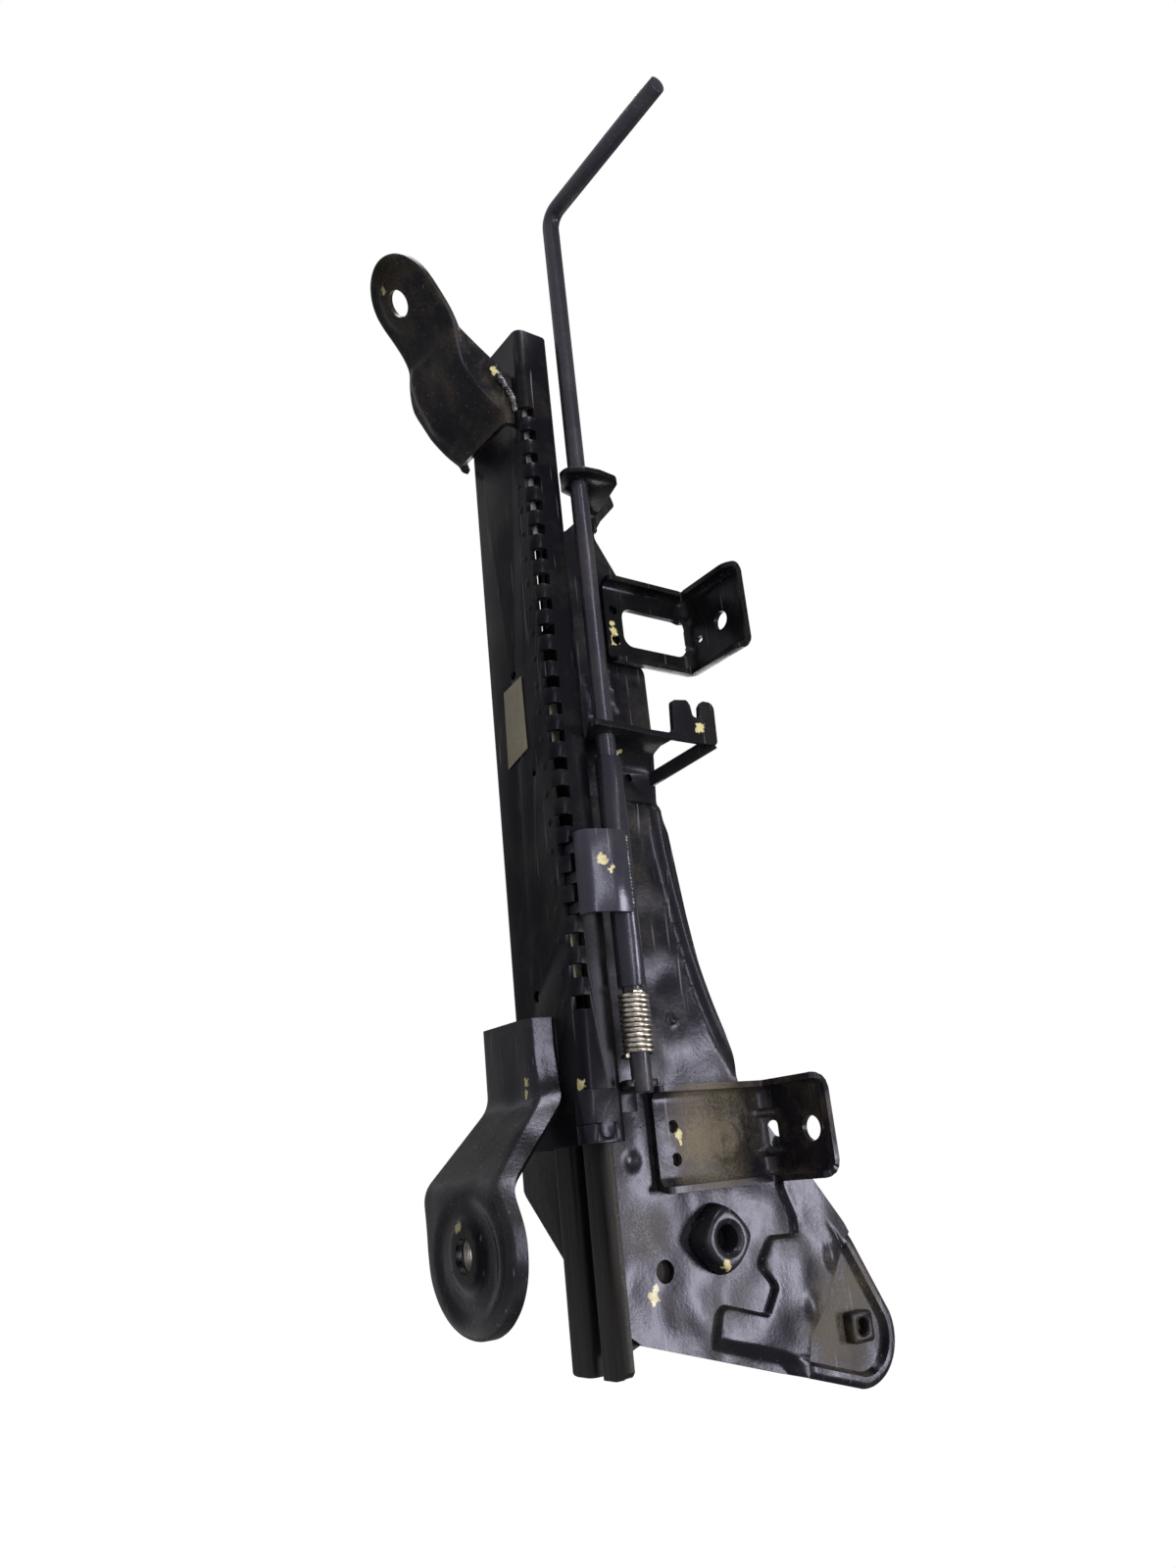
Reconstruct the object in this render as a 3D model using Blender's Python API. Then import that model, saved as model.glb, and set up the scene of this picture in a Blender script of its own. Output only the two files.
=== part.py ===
"""Seat slide rail: a slotted floor rail on two bolted feet, and a sliding rail that carries the side
plate, two seat brackets and a rod that lifts the lock teeth out of the slots.

Sizes are in millimetres in the rail's own frame: x = 0 at the front edge of the first lock slot and
negative to the rear, y = 0 on the rail's middle plane, z = 0 under the floor rail's base."""
import math

import bmesh
import bpy
from mathutils import Vector

MM = 0.001
GAP = 0.3
NEAR = 0.1

# The lock ladder sets the scale of everything else.
PITCH = 12.0
SLOT = 5.2
SLOT_COUNT = 23
SLOT_DEPTH = 4.3
SLOT_TOP_Z = 5.8
FIRST_TOOTH = 17
TEETH = 3

# Floor rail, a C-section with hooked lips round the sliding rail's web.
WEB_HALF = 4.8
RAIL_FRONT = 42.0
RAIL_REAR = -318.0
RAIL_HALF = 24.0
RAIL_TOP = 17.3
RAIL_SHEET = 2.3
RAIL_RADIUS = 4.0
LIP_Y = WEB_HALF + 5.8
LIP_LOW = 12.3
BAND_FRONT = -299.0
BAND_SEAM = -311.0
BAND_TONGUE = (-313.0, 7.2)
BAND_SHEET = 1.2
BAND_TOP = 13.4

# Sliding rail, a folded inverted T.
SLIDER_FRONT = -104.0
SLIDER_REAR = -399.0
SLIDER_SHEET = 2.0
FLANGE_LOW = 9.5
FLANGE_HALF = RAIL_HALF - 6.6
CURL_TOP = 14.4
WEB_TOP = 47.0
WING = (-298.0, -362.0, -57.0)

# Everything on the slider is made from this sheet, or lies on it.
SHEET = 2.5
PLATE_BACK = WEB_HALF + GAP
PLATE_FACE = PLATE_BACK + SHEET
ON_PLATE = PLATE_FACE + GAP
PLATE_LOW = 12.6
TAB_LOW = RAIL_TOP + 1.2
LOBE = (-402.0, 136.4, 20.0)
RECLINER = (-357.0, 66.0)

# Release rod, its tube, lock plate and spring.
ROD_Y = RAIL_HALF + 4.0
ROD_Z = 23.2
ROD_RADIUS = 4.0
ROD_REAR = -301.5
ROD_BEND = 113.0
GRIP_TIP = (111.5, 114.0)
BEND_RADIUS = 7.0
TUBE_RADIUS = 5.6
TUBE_FRONT = -168.0
TUBE_REAR = -262.0
COIL_RADIUS = 5.3
COIL_WIRE = 0.85
COIL_TURNS = 12.5
COIL_LEG = 4.2
COIL_FRONT = -264.2
COIL_REAR = -287.6
LOCK_FRONT = -201.0
LOCK_REAR = -234.0
LOCK_SHEET = 2.5
LOCK_TOP = 25.0
TOOTH_LOW = 3.0
TOOTH_REACH = 5.0
TOOTH_CLEAR = 0.35

# Feet.
REAR_PAD = (-351.0, 3.5, -43.0)
REAR_PAD_LONG = 27.5
REAR_PAD_WIDE = 31.0
REAR_WEB_Z = -10.0
FRONT_PAD = (54.0, 0.5, -45.6)
FRONT_PAD_HALF = 21.0
PAD_COLLAR = (10.0, 9.0)
FRONT_PAD_SLOPE = 0.76
BOLT_RADIUS = 6.0

# The rear floor bolt's centre, at the level of the floor, is the object's origin.
ORIGIN = Vector(REAR_PAD)


def material(name, colour, metallic, roughness):
    made = bpy.data.materials.new(name)
    made.use_nodes = True
    shader = made.node_tree.nodes["Principled BSDF"]
    shader.inputs["Base Color"].default_value = (*colour, 1.0)
    shader.inputs["Metallic"].default_value = metallic
    shader.inputs["Roughness"].default_value = roughness
    made.diffuse_color = (*colour, 1.0)
    return made


def solid(name, mesh_data, made_of):
    """An object in metres, with its normals outward and its curved faces smooth."""
    bmesh.ops.remove_doubles(mesh_data, verts=mesh_data.verts, dist=1e-4)
    for vertex in mesh_data.verts:
        vertex.co = (vertex.co - ORIGIN) * MM
    bmesh.ops.recalc_face_normals(mesh_data, faces=mesh_data.faces)
    mesh = bpy.data.meshes.new(name)
    mesh_data.to_mesh(mesh)
    mesh_data.free()
    mesh.materials.append(made_of)
    made = bpy.data.objects.new(name, mesh)
    bpy.context.scene.collection.objects.link(made)
    smooth(made)
    return made


def smooth(made):
    made.data.shade_smooth()
    made.data.set_sharp_from_angle(angle=math.radians(32))


def combine(target, tool, operation):
    """Runs the Boolean at once and removes the tool."""
    step = target.modifiers.new(operation, "BOOLEAN")
    step.object = tool
    step.operation = operation
    step.solver = "EXACT"
    bpy.context.view_layer.update()
    seen = target.evaluated_get(bpy.context.evaluated_depsgraph_get())
    mesh = bpy.data.meshes.new_from_object(seen)
    target.modifiers.clear()
    target.data = mesh
    bpy.data.objects.remove(tool)
    smooth(target)


def cut(target, tool):
    combine(target, tool, "DIFFERENCE")


def join(target, tool):
    combine(target, tool, "UNION")


def fillet(points, radius, closed=True, steps=4):
    """The outline with arcs for corners. A point's third value is its own radius."""
    found = []
    for i, point in enumerate(points):
        corner = Vector(point[:2])
        wanted = point[2] if len(point) > 2 else radius
        if wanted == 0 or (not closed and i in (0, len(points) - 1)):
            found.append(corner)
            continue
        before = Vector(points[i - 1][:2]) - corner
        after = Vector(points[(i + 1) % len(points)][:2]) - corner
        half = before.angle(after) / 2
        reach = min(wanted / math.tan(half), 0.49 * before.length, 0.49 * after.length)
        centre = corner + (before.normalized() + after.normalized()).normalized() * reach / math.cos(half)
        start = corner + before.normalized() * reach - centre
        turn = start.angle_signed(corner + after.normalized() * reach - centre)
        for k in range(steps + 1):
            angle = -turn * k / steps
            found.append(centre + Vector((
                start.x * math.cos(angle) - start.y * math.sin(angle),
                start.x * math.sin(angle) + start.y * math.cos(angle))))
    return found


def shifted(path, distance, closed=False):
    """The path moved to its left by a distance, corners mitred."""
    found = []
    last = len(path) - 1
    for i, point in enumerate(path):
        before = path[i - 1] if closed or i > 0 else point
        after = path[(i + 1) % len(path)] if closed or i < last else point
        one = (point - before).normalized() if before != point else (after - point).normalized()
        two = (after - point).normalized() if after != point else one
        side = (one + two).normalized()
        normal = Vector((-side.y, side.x))
        found.append(point + normal * distance / max(0.4, side.dot(one)))
    return found


def ribbon(path, thickness):
    """The outline of a sheet that follows the open path."""
    return shifted(path, thickness / 2) + shifted(path, -thickness / 2)[::-1]


def prism(name, outline, axis, low, high, made_of=None):
    """The outline pushed from low to high. Its plane is YZ for X, XZ for Y and XY for Z."""
    place = {
        "X": lambda u, v, w: (w, u, v),
        "Y": lambda u, v, w: (u, w, v),
        "Z": lambda u, v, w: (u, v, w),
    }[axis]
    data = bmesh.new()
    ends = [[data.verts.new(place(p[0], p[1], w)) for p in outline] for w in (low, high)]
    data.faces.new(ends[0])
    data.faces.new(ends[1][::-1])
    for i in range(len(outline)):
        j = (i + 1) % len(outline)
        data.faces.new((ends[0][i], ends[0][j], ends[1][j], ends[1][i]))
    return solid(name, data, made_of)


def circle(u, v, radius, sides=20):
    return [(u + radius * math.cos(2 * math.pi * k / sides), v + radius * math.sin(2 * math.pi * k / sides))
            for k in range(sides)]


def drill(target, axis, u, v, radius, low, high, sides=20):
    cut(target, prism("drill", circle(u, v, radius, sides), axis, low, high))


def sweep(name, path, radius, sides, made_of):
    """A round wire along a path of points, with its rings carried on without twist."""
    data = bmesh.new()
    rings = []
    across = None
    for i, point in enumerate(path):
        along = (path[min(i + 1, len(path) - 1)] - path[max(i - 1, 0)]).normalized()
        across = along.orthogonal() if across is None else across - along * across.dot(along)
        across.normalize()
        other = along.cross(across)
        rings.append([
            data.verts.new(point + (across * math.cos(a) + other * math.sin(a)) * radius)
            for a in (2 * math.pi * k / sides for k in range(sides))])
    for one, two in zip(rings, rings[1:]):
        for k in range(sides):
            m = (k + 1) % sides
            data.faces.new((one[k], one[m], two[m], two[k]))
    data.faces.new(rings[0])
    data.faces.new(rings[-1])
    return solid(name, data, made_of)


def level(path, x):
    """The height of a path of (x, z) points at x."""
    for one, two in zip(path, path[1:]):
        if min(one[0], two[0]) <= x <= max(one[0], two[0]):
            return one[1] + (two[1] - one[1]) * (x - one[0]) / (two[0] - one[0])
    return path[0][1] if abs(x - path[0][0]) < abs(x - path[-1][0]) else path[-1][1]


def pan(name, left, right, web, rim, corner, made_of, steps=3):
    """A pressed strip with a turned-up edge. Left and right run from its open end to its round end,
    web gives the underside's height along x, and rim the top of the edge."""
    border = [Vector(p) for p in left] + [Vector(p) for p in right[::-1]]
    inward = [(b - a).normalized() for a, b in zip(border, shifted(border, 1.0))]
    middle = sum(border, Vector((0, 0))) / len(border)
    if inward[0].dot(middle - border[0]) < 0:
        inward = [-n for n in inward]
    data = bmesh.new()
    columns = []
    for point, normal in zip(border, inward):
        column = []
        for k in range(steps + 1):
            turn = math.pi / 2 * k / steps
            spots = (
                (corner - corner * math.sin(turn), corner * (1 - math.cos(turn)), 0.0),
                (corner - (corner - SHEET) * math.sin(turn), (corner - SHEET) * (1 - math.cos(turn)), SHEET))
            pair = []
            for inset, lift, thick in spots:
                spot = point + normal * inset
                slope = (level(web, spot.x + 1) - level(web, spot.x - 1)) / 2
                pair.append((spot.x, spot.y, level(web, spot.x) + lift + thick * math.hypot(1, slope)))
            column.append(pair)
        top = rim(point.x)
        inner = point + normal * SHEET
        column.append([(point.x, point.y, top), (inner.x, inner.y, top)])
        columns.append([[data.verts.new(p) for p in pair] for pair in column])
    for one, two in zip(columns, columns[1:]):
        for a, b in zip(range(len(one)), range(1, len(one))):
            for side in (0, 1):
                data.faces.new((one[a][side], one[b][side], two[b][side], two[a][side]))
        data.faces.new((one[-1][0], one[-1][1], two[-1][1], two[-1][0]))
    count = len(left)
    for i in range(count - 1):
        m = len(columns) - 1 - i
        for side in (0, 1):
            data.faces.new((columns[i][0][side], columns[i + 1][0][side],
                            columns[m - 1][0][side], columns[m][0][side]))
    first, last = columns[0], columns[-1]
    data.faces.new((first[0][0], first[0][1], last[0][1], last[0][0]))
    for column in (first, last):
        for one, two in zip(column, column[1:]):
            data.faces.new((one[0], one[1], two[1], two[0]))
    return solid(name, data, made_of)


def floor_rail(made_of):
    half = RAIL_SHEET / 2
    wall, top, low = RAIL_HALF - half, RAIL_TOP - half, half
    lip = LIP_Y + half
    side = [(lip, LIP_LOW), (lip, top, 1.6), (wall, top, 2.2), (wall, low, RAIL_RADIUS - half)]
    path = fillet(side + [(-p[0], *p[1:]) for p in side[::-1]], 0, closed=False)
    rail = prism("floor_rail", ribbon(path, RAIL_SHEET), "X", RAIL_REAR, RAIL_FRONT, made_of)
    slots = bmesh.new()
    for n in range(SLOT_COUNT):
        middle = -n * PITCH - SLOT / 2
        box = bmesh.ops.create_cube(slots, size=1.0)["verts"]
        for vertex in box:
            vertex.co.x = middle + vertex.co.x * SLOT
            vertex.co.y = (RAIL_HALF - SLOT_DEPTH if vertex.co.y < 0 else RAIL_HALF + 2)
            vertex.co.z = (-1.0 if vertex.co.z < 0 else SLOT_TOP_Z)
    cut(rail, solid("slots", slots, None))
    for x, y, radius in ((-122.0, -2.0, 2.0), (-260.0, -4.0, 2.4), (-170.0, 7.6, 1.3)):
        drill(rail, "Z", x, y, radius, -2, RAIL_SHEET + 1, 12)
    return rail


def end_band(name, far_end, seam, radius, made_of):
    """Half of the strap round the rail's rear corner; a round tongue locks the halves together."""
    half = BAND_SHEET / 2
    wall, low = RAIL_HALF + GAP + half, -GAP - half
    path = fillet([(18.0, low), (wall, low, RAIL_RADIUS + GAP + half), (wall, BAND_TOP)], 0, closed=False)
    band = prism(name, ribbon(path, BAND_SHEET), "X", RAIL_REAR - 5, BAND_FRONT + 5, made_of)
    x, z = BAND_TONGUE
    begin = math.atan2(math.sqrt(radius ** 2 - (seam - x) ** 2), seam - x)
    arc = [(x + radius * math.cos(a), z + radius * math.sin(a))
           for a in (begin + (2 * math.pi - 2 * begin) * k / 12 for k in range(13))]
    outline = [(far_end, -9.0), (far_end, BAND_TOP + 5), (seam, BAND_TOP + 5)] + arc + [(seam, -9.0)]
    combine(band, prism("end", outline, "Y", 10, RAIL_HALF + 10), "INTERSECT")
    return band


def rear_foot(made_of):
    x, y, z = REAR_PAD
    ramp = [(-255.0, REAR_WEB_Z), (-300.0, REAR_WEB_Z), (-329.0, z), (-400.0, z)]
    web = fillet(ramp, 11.0, closed=False, steps=6)
    ends = [math.radians(a) for a in (0, 18, 36, 54, 70, 84)]
    middle = y + 0.9
    left = [(-269.5, -31.0), (-282.0, -31.0), (-294.0, -31.0), (-303.0, -31.0), (-312.0, -30.6),
            (-322.0, -29.4), (-334.0, -27.9), (-343.0, -27.0)]
    left += [(x - REAR_PAD_LONG * math.sin(a), middle - REAR_PAD_WIDE * math.cos(a)) for a in ends]
    right = [(-269.5, 5.5), (-282.0, 5.5), (-294.0, 6.5), (-303.0, 11.0), (-312.0, 18.0),
             (-322.0, 27.0), (-334.0, 33.4), (-343.0, 35.1)]
    right += [(x - REAR_PAD_LONG * math.sin(a), middle + REAR_PAD_WIDE * math.cos(a)) for a in ends]
    tall, short = -GAP - REAR_WEB_Z, 6.4

    def rim(at):
        share = min(1.0, max(0.0, (-290.0 - at) / 45.0))
        return level(web, at) + tall + (short - tall) * share

    foot = pan("rear_foot", left, right, web, rim, 3.0, made_of)
    lug = fillet([(-275.0, -9.2), (-264.0, -9.2, 3), (-264.0, -0.5, 3), (-275.0, -0.5)], 0)
    join(foot, prism("lug", lug, "Y", 3.2, 5.3))
    drill(foot, "Z", x, y, 13.0, z - 1, z + 0.8, 32)
    drill(foot, "Z", x, y, BOLT_RADIUS, z - 1, z + 6, 24)
    return foot


def pad_collar(made_of):
    """A collar on top of the rear pad, round the floor bolt; its radius and height are PAD_COLLAR."""
    x, y, z = REAR_PAD
    radius, tall = PAD_COLLAR
    low = z + SHEET + GAP
    collar = prism("rear_pad_collar", circle(x, y, radius, 32), "Z", low, low + tall, made_of)
    drill(collar, "Z", x, y, BOLT_RADIUS, low - 1, low + tall + 1, 24)
    return collar


def front_foot(made_of):
    x, y, z = FRONT_PAD
    low = z - FRONT_PAD_SLOPE * 25
    bend_x = 37.0
    bend_z = z + FRONT_PAD_SLOPE * (x - bend_x)
    path = [(-8.0, -5.4), (-3.0, -5.6), (9.5, -19.0), (21.0, -26.8), (bend_x, bend_z), (x + 25, low)]
    web = fillet(path, 9.0, closed=False, steps=4)
    reach = FRONT_PAD_HALF / math.hypot(1, FRONT_PAD_SLOPE)
    ends = [math.radians(a) for a in (0, 18, 36, 54, 70, 84)]
    xs = (-6.0, -2.0, 2.0, 6.0, 10.0, 15.0, 20.0, 26.0, 32.0, 37.0, 42.0, 48.0)
    left_ys = (-27.0, -28.5, -30.0, -30.5, -30.5, -30.5, -30.5, -29.5, -26.5, -22.5, -20.3, -19.7)
    right_ys = (17.0, 17.0, 17.0, 17.0, 17.0, 17.0, 17.0, 17.4, 18.4, 19.6, 21.2, 22.0)
    tip_x, tip_y = x + 1.5, y + 0.8
    left = list(zip(xs, left_ys))
    left += [(tip_x + reach * math.sin(a), tip_y - FRONT_PAD_HALF * math.cos(a)) for a in ends]
    right = list(zip(xs, right_ys))
    right += [(tip_x + reach * math.sin(a), tip_y + FRONT_PAD_HALF * math.cos(a)) for a in ends]

    def rim(at):
        lip = level(web, at) + 4.6
        return max(lip, min(-GAP, -GAP - (at - 20.0) * 1.75))

    foot = pan("front_foot", left, right, web, rim, 3.0, made_of)
    ear = [(31.0, -30.5, 2), (16.0, -28.0, 12), (2.0, -27.0, 6), (-8.0, -24.0, 6), (-13.5, -15.0, 6), (-12.5, -2.0, 2),
           (17.0, -2.0, 2)]
    join(foot, prism("ear", fillet(ear, 0), "Y", 15.0, 17.4))
    along = Vector((1.0, 0.0, -FRONT_PAD_SLOPE)).normalized()
    up = Vector((FRONT_PAD_SLOPE, 0.0, 1.0)).normalized()
    for radius, deep in ((9.5, 0.8), (BOLT_RADIUS, 6.0)):
        tool = bmesh.new()
        rings = []
        for depth in (-1.5, deep):
            rings.append([
                tool.verts.new(Vector(FRONT_PAD) + up * depth + along * radius * math.cos(a)
                               + Vector((0, radius * math.sin(a), 0)))
                for a in (2 * math.pi * k / 24 for k in range(24))])
        tool.faces.new(rings[0])
        tool.faces.new(rings[1])
        for k in range(24):
            m = (k + 1) % 24
            tool.faces.new((rings[0][k], rings[0][m], rings[1][m], rings[1][k]))
        cut(foot, solid("drill", tool, None))
    return foot


def slider(made_of):
    half = SLIDER_SHEET / 2
    flange = FLANGE_LOW + half
    edge, web = FLANGE_HALF - half, WEB_HALF - half
    side = [(edge, CURL_TOP), (edge, flange, 2.6), (web, flange, 1.6), (web, WEB_TOP - half, 2.4)]
    path = fillet(side + [(-p[0], *p[1:]) for p in side[::-1]], 0, closed=False)
    rail = prism("slider_rail", ribbon(path, SLIDER_SHEET), "X", SLIDER_REAR, SLIDER_FRONT, made_of)
    wide = FLANGE_HALF + 2
    plan = [(SLIDER_FRONT + 5, -wide, 0), (SLIDER_FRONT + 5, wide, 0),
            (SLIDER_REAR + 0.5, FLANGE_HALF, 6.0), (SLIDER_REAR + 0.5, -FLANGE_HALF, 6.0)]
    plan.insert(2, (SLIDER_REAR + 12, wide, 0))
    plan.insert(5, (SLIDER_REAR + 12, -wide, 0))
    combine(rail, prism("ends", fillet(plan, 0), "Z", 0, WEB_TOP + 5), "INTERSECT")
    corner = [(SLIDER_REAR - 5, CURL_TOP + 3), (SLIDER_REAR + 6, CURL_TOP + 3), (SLIDER_REAR + 18, WEB_TOP + 5),
              (SLIDER_REAR - 5, WEB_TOP + 5)]
    cut(rail, prism("corner", corner, "Y", -WEB_HALF - 5, WEB_HALF + 5))
    return rail


def plate_outline():
    """The side plate seen from its outer side, in x and z."""
    x, z, r = LOBE
    points = [(-44.0, PLATE_LOW, 3), (-50.0, 27.0, 4), (-41.0, 36.0, 6), (-24.0, 41.0, 4), (-19.0, 56.0, 2.5),
              (-27.0, 59.0, 2.5), (-38.0, 49.5, 5), (-47.0, 44.0, 5), (-74.0, 60.5, 4), (-84.0, 52.5, 5),
              (-104.0, 52.5, 5), (-112.0, 65.0, 6), (-150.0, 65.0, 20), (-177.0, 63.0, 10), (-190.0, 67.5, 10), (-226.0, 72.0, 25),
              (-262.0, 78.0, 25), (-300.0, 90.0, 15), (-341.0, 122.5, 20), (-358.0, 135.5, 20)]
    lobe = [(x + r * math.cos(math.radians(a)), z + r * math.sin(math.radians(a)), 0)
            for a in range(70, 196, 14)]
    return fillet(points + lobe + [(-389.5, 26.0, 4), (-380.0, PLATE_LOW, 4)], 0, steps=3)


def inset(corners, distance):
    """The closed outline moved inward, whichever way round it runs."""
    found = [Vector(p[:2]) for p in corners]
    area = sum(a.x * b.y - b.x * a.y for a, b in zip(found, found[1:] + found[:1]))
    return shifted(found, distance if area > 0 else -distance, closed=True)


def raised(plate, corners, radius, height):
    """Presses a region of the plate outward."""
    face = PLATE_FACE + height
    lift = prism("raised", fillet(corners, radius, steps=2), "Y", PLATE_FACE - 1.2, face)
    combine(lift, prism("limit", inset(plate_outline(), NEAR), "Y", 0, face + 5), "INTERSECT")
    join(plate, lift)


def side_plate(made_of):
    outline = plate_outline()
    plate = prism("side_plate", outline, "Y", PLATE_BACK, PLATE_FACE, made_of)
    middle = [(-322.0, 106.0), (-340.5, 104.0), (-352.4, 108.6), (-361.0, 109.0), (-360.4, 94.3), (-369.0, 87.3),
              (-378.0, 94.6), (-388.7, 87.0), (-382.0, 64.3), (-394.0, 60.0), (-412.0, 56.0), (-424.0, 96.0),
              (-407.0, 101.0), (-387.6, 119.0), (-373.7, 127.9), (-356.0, 142.0), (-318.0, 113.0)]
    raised(plate, middle, 2.6, SHEET)
    cut(plate, prism("pocket", fillet(inset(middle, SHEET), 1.2, steps=2), "Y", 0, PLATE_FACE - NEAR))
    bead = [(-183.0, 58.0), (-204.0, 60.7), (-238.0, 65.3), (-267.0, 74.1), (-292.0, 86.0), (-296.0, 96.0),
            (-250.0, 92.0), (-180.0, 80.0)]
    raised(plate, bead, 3.0, 1.8)
    start = min(range(len(outline)), key=lambda i: (outline[i] - Vector((-366.0, 141.0))).length)
    stop = min(range(len(outline)), key=lambda i: (outline[i] - Vector((-388.5, 30.0))).length)
    edge = outline[start:stop + 1]
    join(plate, prism("rim", ribbon(shifted(edge, 1.6 + NEAR), 3.2), "Y", PLATE_BACK + 0.6, PLATE_FACE + 3.6))
    for x, z, radius in ((-366.0, 40.0, 4.3), (-157.0, 48.0, 1.8), (-148.0, 57.5, 1.5), (-272.0, 56.0, 1.6)):
        drill(plate, "Y", x, z, radius, 0, PLATE_FACE + 5, 16)
    return plate


def seat_bracket(name, x_front, x_rear, z_low, z_seat, y_out, rim, made_of):
    """A bracket pressed from one strip: a leg on the plate, a bend, and a level seat with turned edges."""
    half = SHEET / 2
    path = fillet([(ON_PLATE + half, z_low), (ON_PLATE + half, z_seat + half, 7.0), (y_out, z_seat + half)],
                  0, closed=False)
    bracket = prism(name, ribbon(path, SHEET), "X", x_rear, x_front, made_of)
    inner = shifted(path, -(rim / 2 - 0.1)) if path[0].x < path[-1].x else path
    for x in (x_front - SHEET, x_rear):
        join(bracket, prism("rim", ribbon(inner, rim + SHEET - 0.4), "X", x + 0.02, x + SHEET - 0.02))
    wide = (x_rear - 5, x_front + 5)
    ends = [(wide[0], 0, 0), (wide[1], 0, 0), (wide[1], y_out - 12, 0), (x_front, y_out - 11.9, 0),
            (x_front, y_out, 7.0), (x_rear, y_out, 7.0), (x_rear, y_out - 11.9, 0), (wide[0], y_out - 12, 0)]
    combine(bracket, prism("ends", fillet(ends, 0), "Z", 0, z_seat + 20), "INTERSECT")
    return bracket


def front_bracket(made_of):
    x_front, x_rear, z_low, z_seat = -73.0, -112.0, 44.0, 92.0
    bracket = seat_bracket("front_seat_bracket", x_front, x_rear, z_low, z_seat, 52.0, 6.0, made_of)
    window = fillet([(-84.0, 53.5), (-85.5, 89.5), (-103.0, 89.5), (-103.0, 53.5)], 5.0)
    cut(bracket, prism("window", window, "Y", 0, 30))
    for x in (-86.0, -101.0):
        drill(bracket, "Y", x, 48.6, 2.3, 0, 30, 14)
    drill(bracket, "Z", -93.5, 34.0, 4.4, 80, 120, 20)
    drill(bracket, "Z", -96.0, 18.0, 2.4, 80, 120, 12)
    return bracket


def rear_bracket(made_of):
    x_front, x_rear, z_low, z_seat = -299.5, -336.5, 40.5, 100.0
    bracket = seat_bracket("rear_seat_bracket", x_front, x_rear, z_low, z_seat, 48.5, 5.0, made_of)
    for x in (-313.5, -326.0):
        drill(bracket, "Y", x, 49.5, 2.6, 0, 30, 14)
    drill(bracket, "Z", -319.0, 35.5, 5.0, 80, 120, 20)
    slot = fillet([(-314.0, 11.5), (-314.0, 16.5), (-325.0, 16.5), (-325.0, 11.5)], 2.2, steps=3)
    cut(bracket, prism("slot", slot, "Z", 80, 120))
    return bracket


def folded(name, face, rear, radius, outline, made_of):
    """A strip that lies on the plate, folds out and stands square to the rod, trimmed to a y-z outline."""
    half = SHEET / 2
    path = fillet([(face - half, 60.0), (face - half, ON_PLATE + half, radius), (rear, ON_PLATE + half)],
                  0, closed=False, steps=6)
    strip = prism(name, ribbon(path, SHEET), "Z", 0, 120, made_of)
    combine(strip, prism("outline", outline, "X", rear - 9, face + 9), "INTERSECT")
    drill(strip, "X", ROD_Y, ROD_Z, ROD_RADIUS + GAP, face - 2 * SHEET, face + SHEET)
    return strip


def over_rail(inner, low):
    """The lower edge of a tab that steps down over the rail's wall, from the plate to beside the rod."""
    return [(0.0, inner), (RAIL_HALF - 4.5, TAB_LOW + 1.0, 3), (RAIL_HALF - 2.5, TAB_LOW, 2), (ROD_Y + 1.0, low, 3)]


def rod_tab(made_of):
    climb = [(0.0, 41.0), (ROD_Y - 15.0, 37.0, 4), (ROD_Y - 9.5, 25.0, 4)]
    outline = climb + over_rail(0.0, 12.6)[1:] + [
        (ROD_Y + 6.0, 12.8, 4), (ROD_Y + 10.2, 19.5, 5), (ROD_Y + 11.3, 27.2, 8), (ROD_Y + 10.3, 36.7, 3),
        (ROD_Y + 8.0, 39.0, 2), (ROD_Y - 1.2, 41.4, 5), (0.0, 47.0)]
    return folded("front_rod_tab", -35.0, -46.0, 6.0, fillet(outline, 0), made_of)


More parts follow.
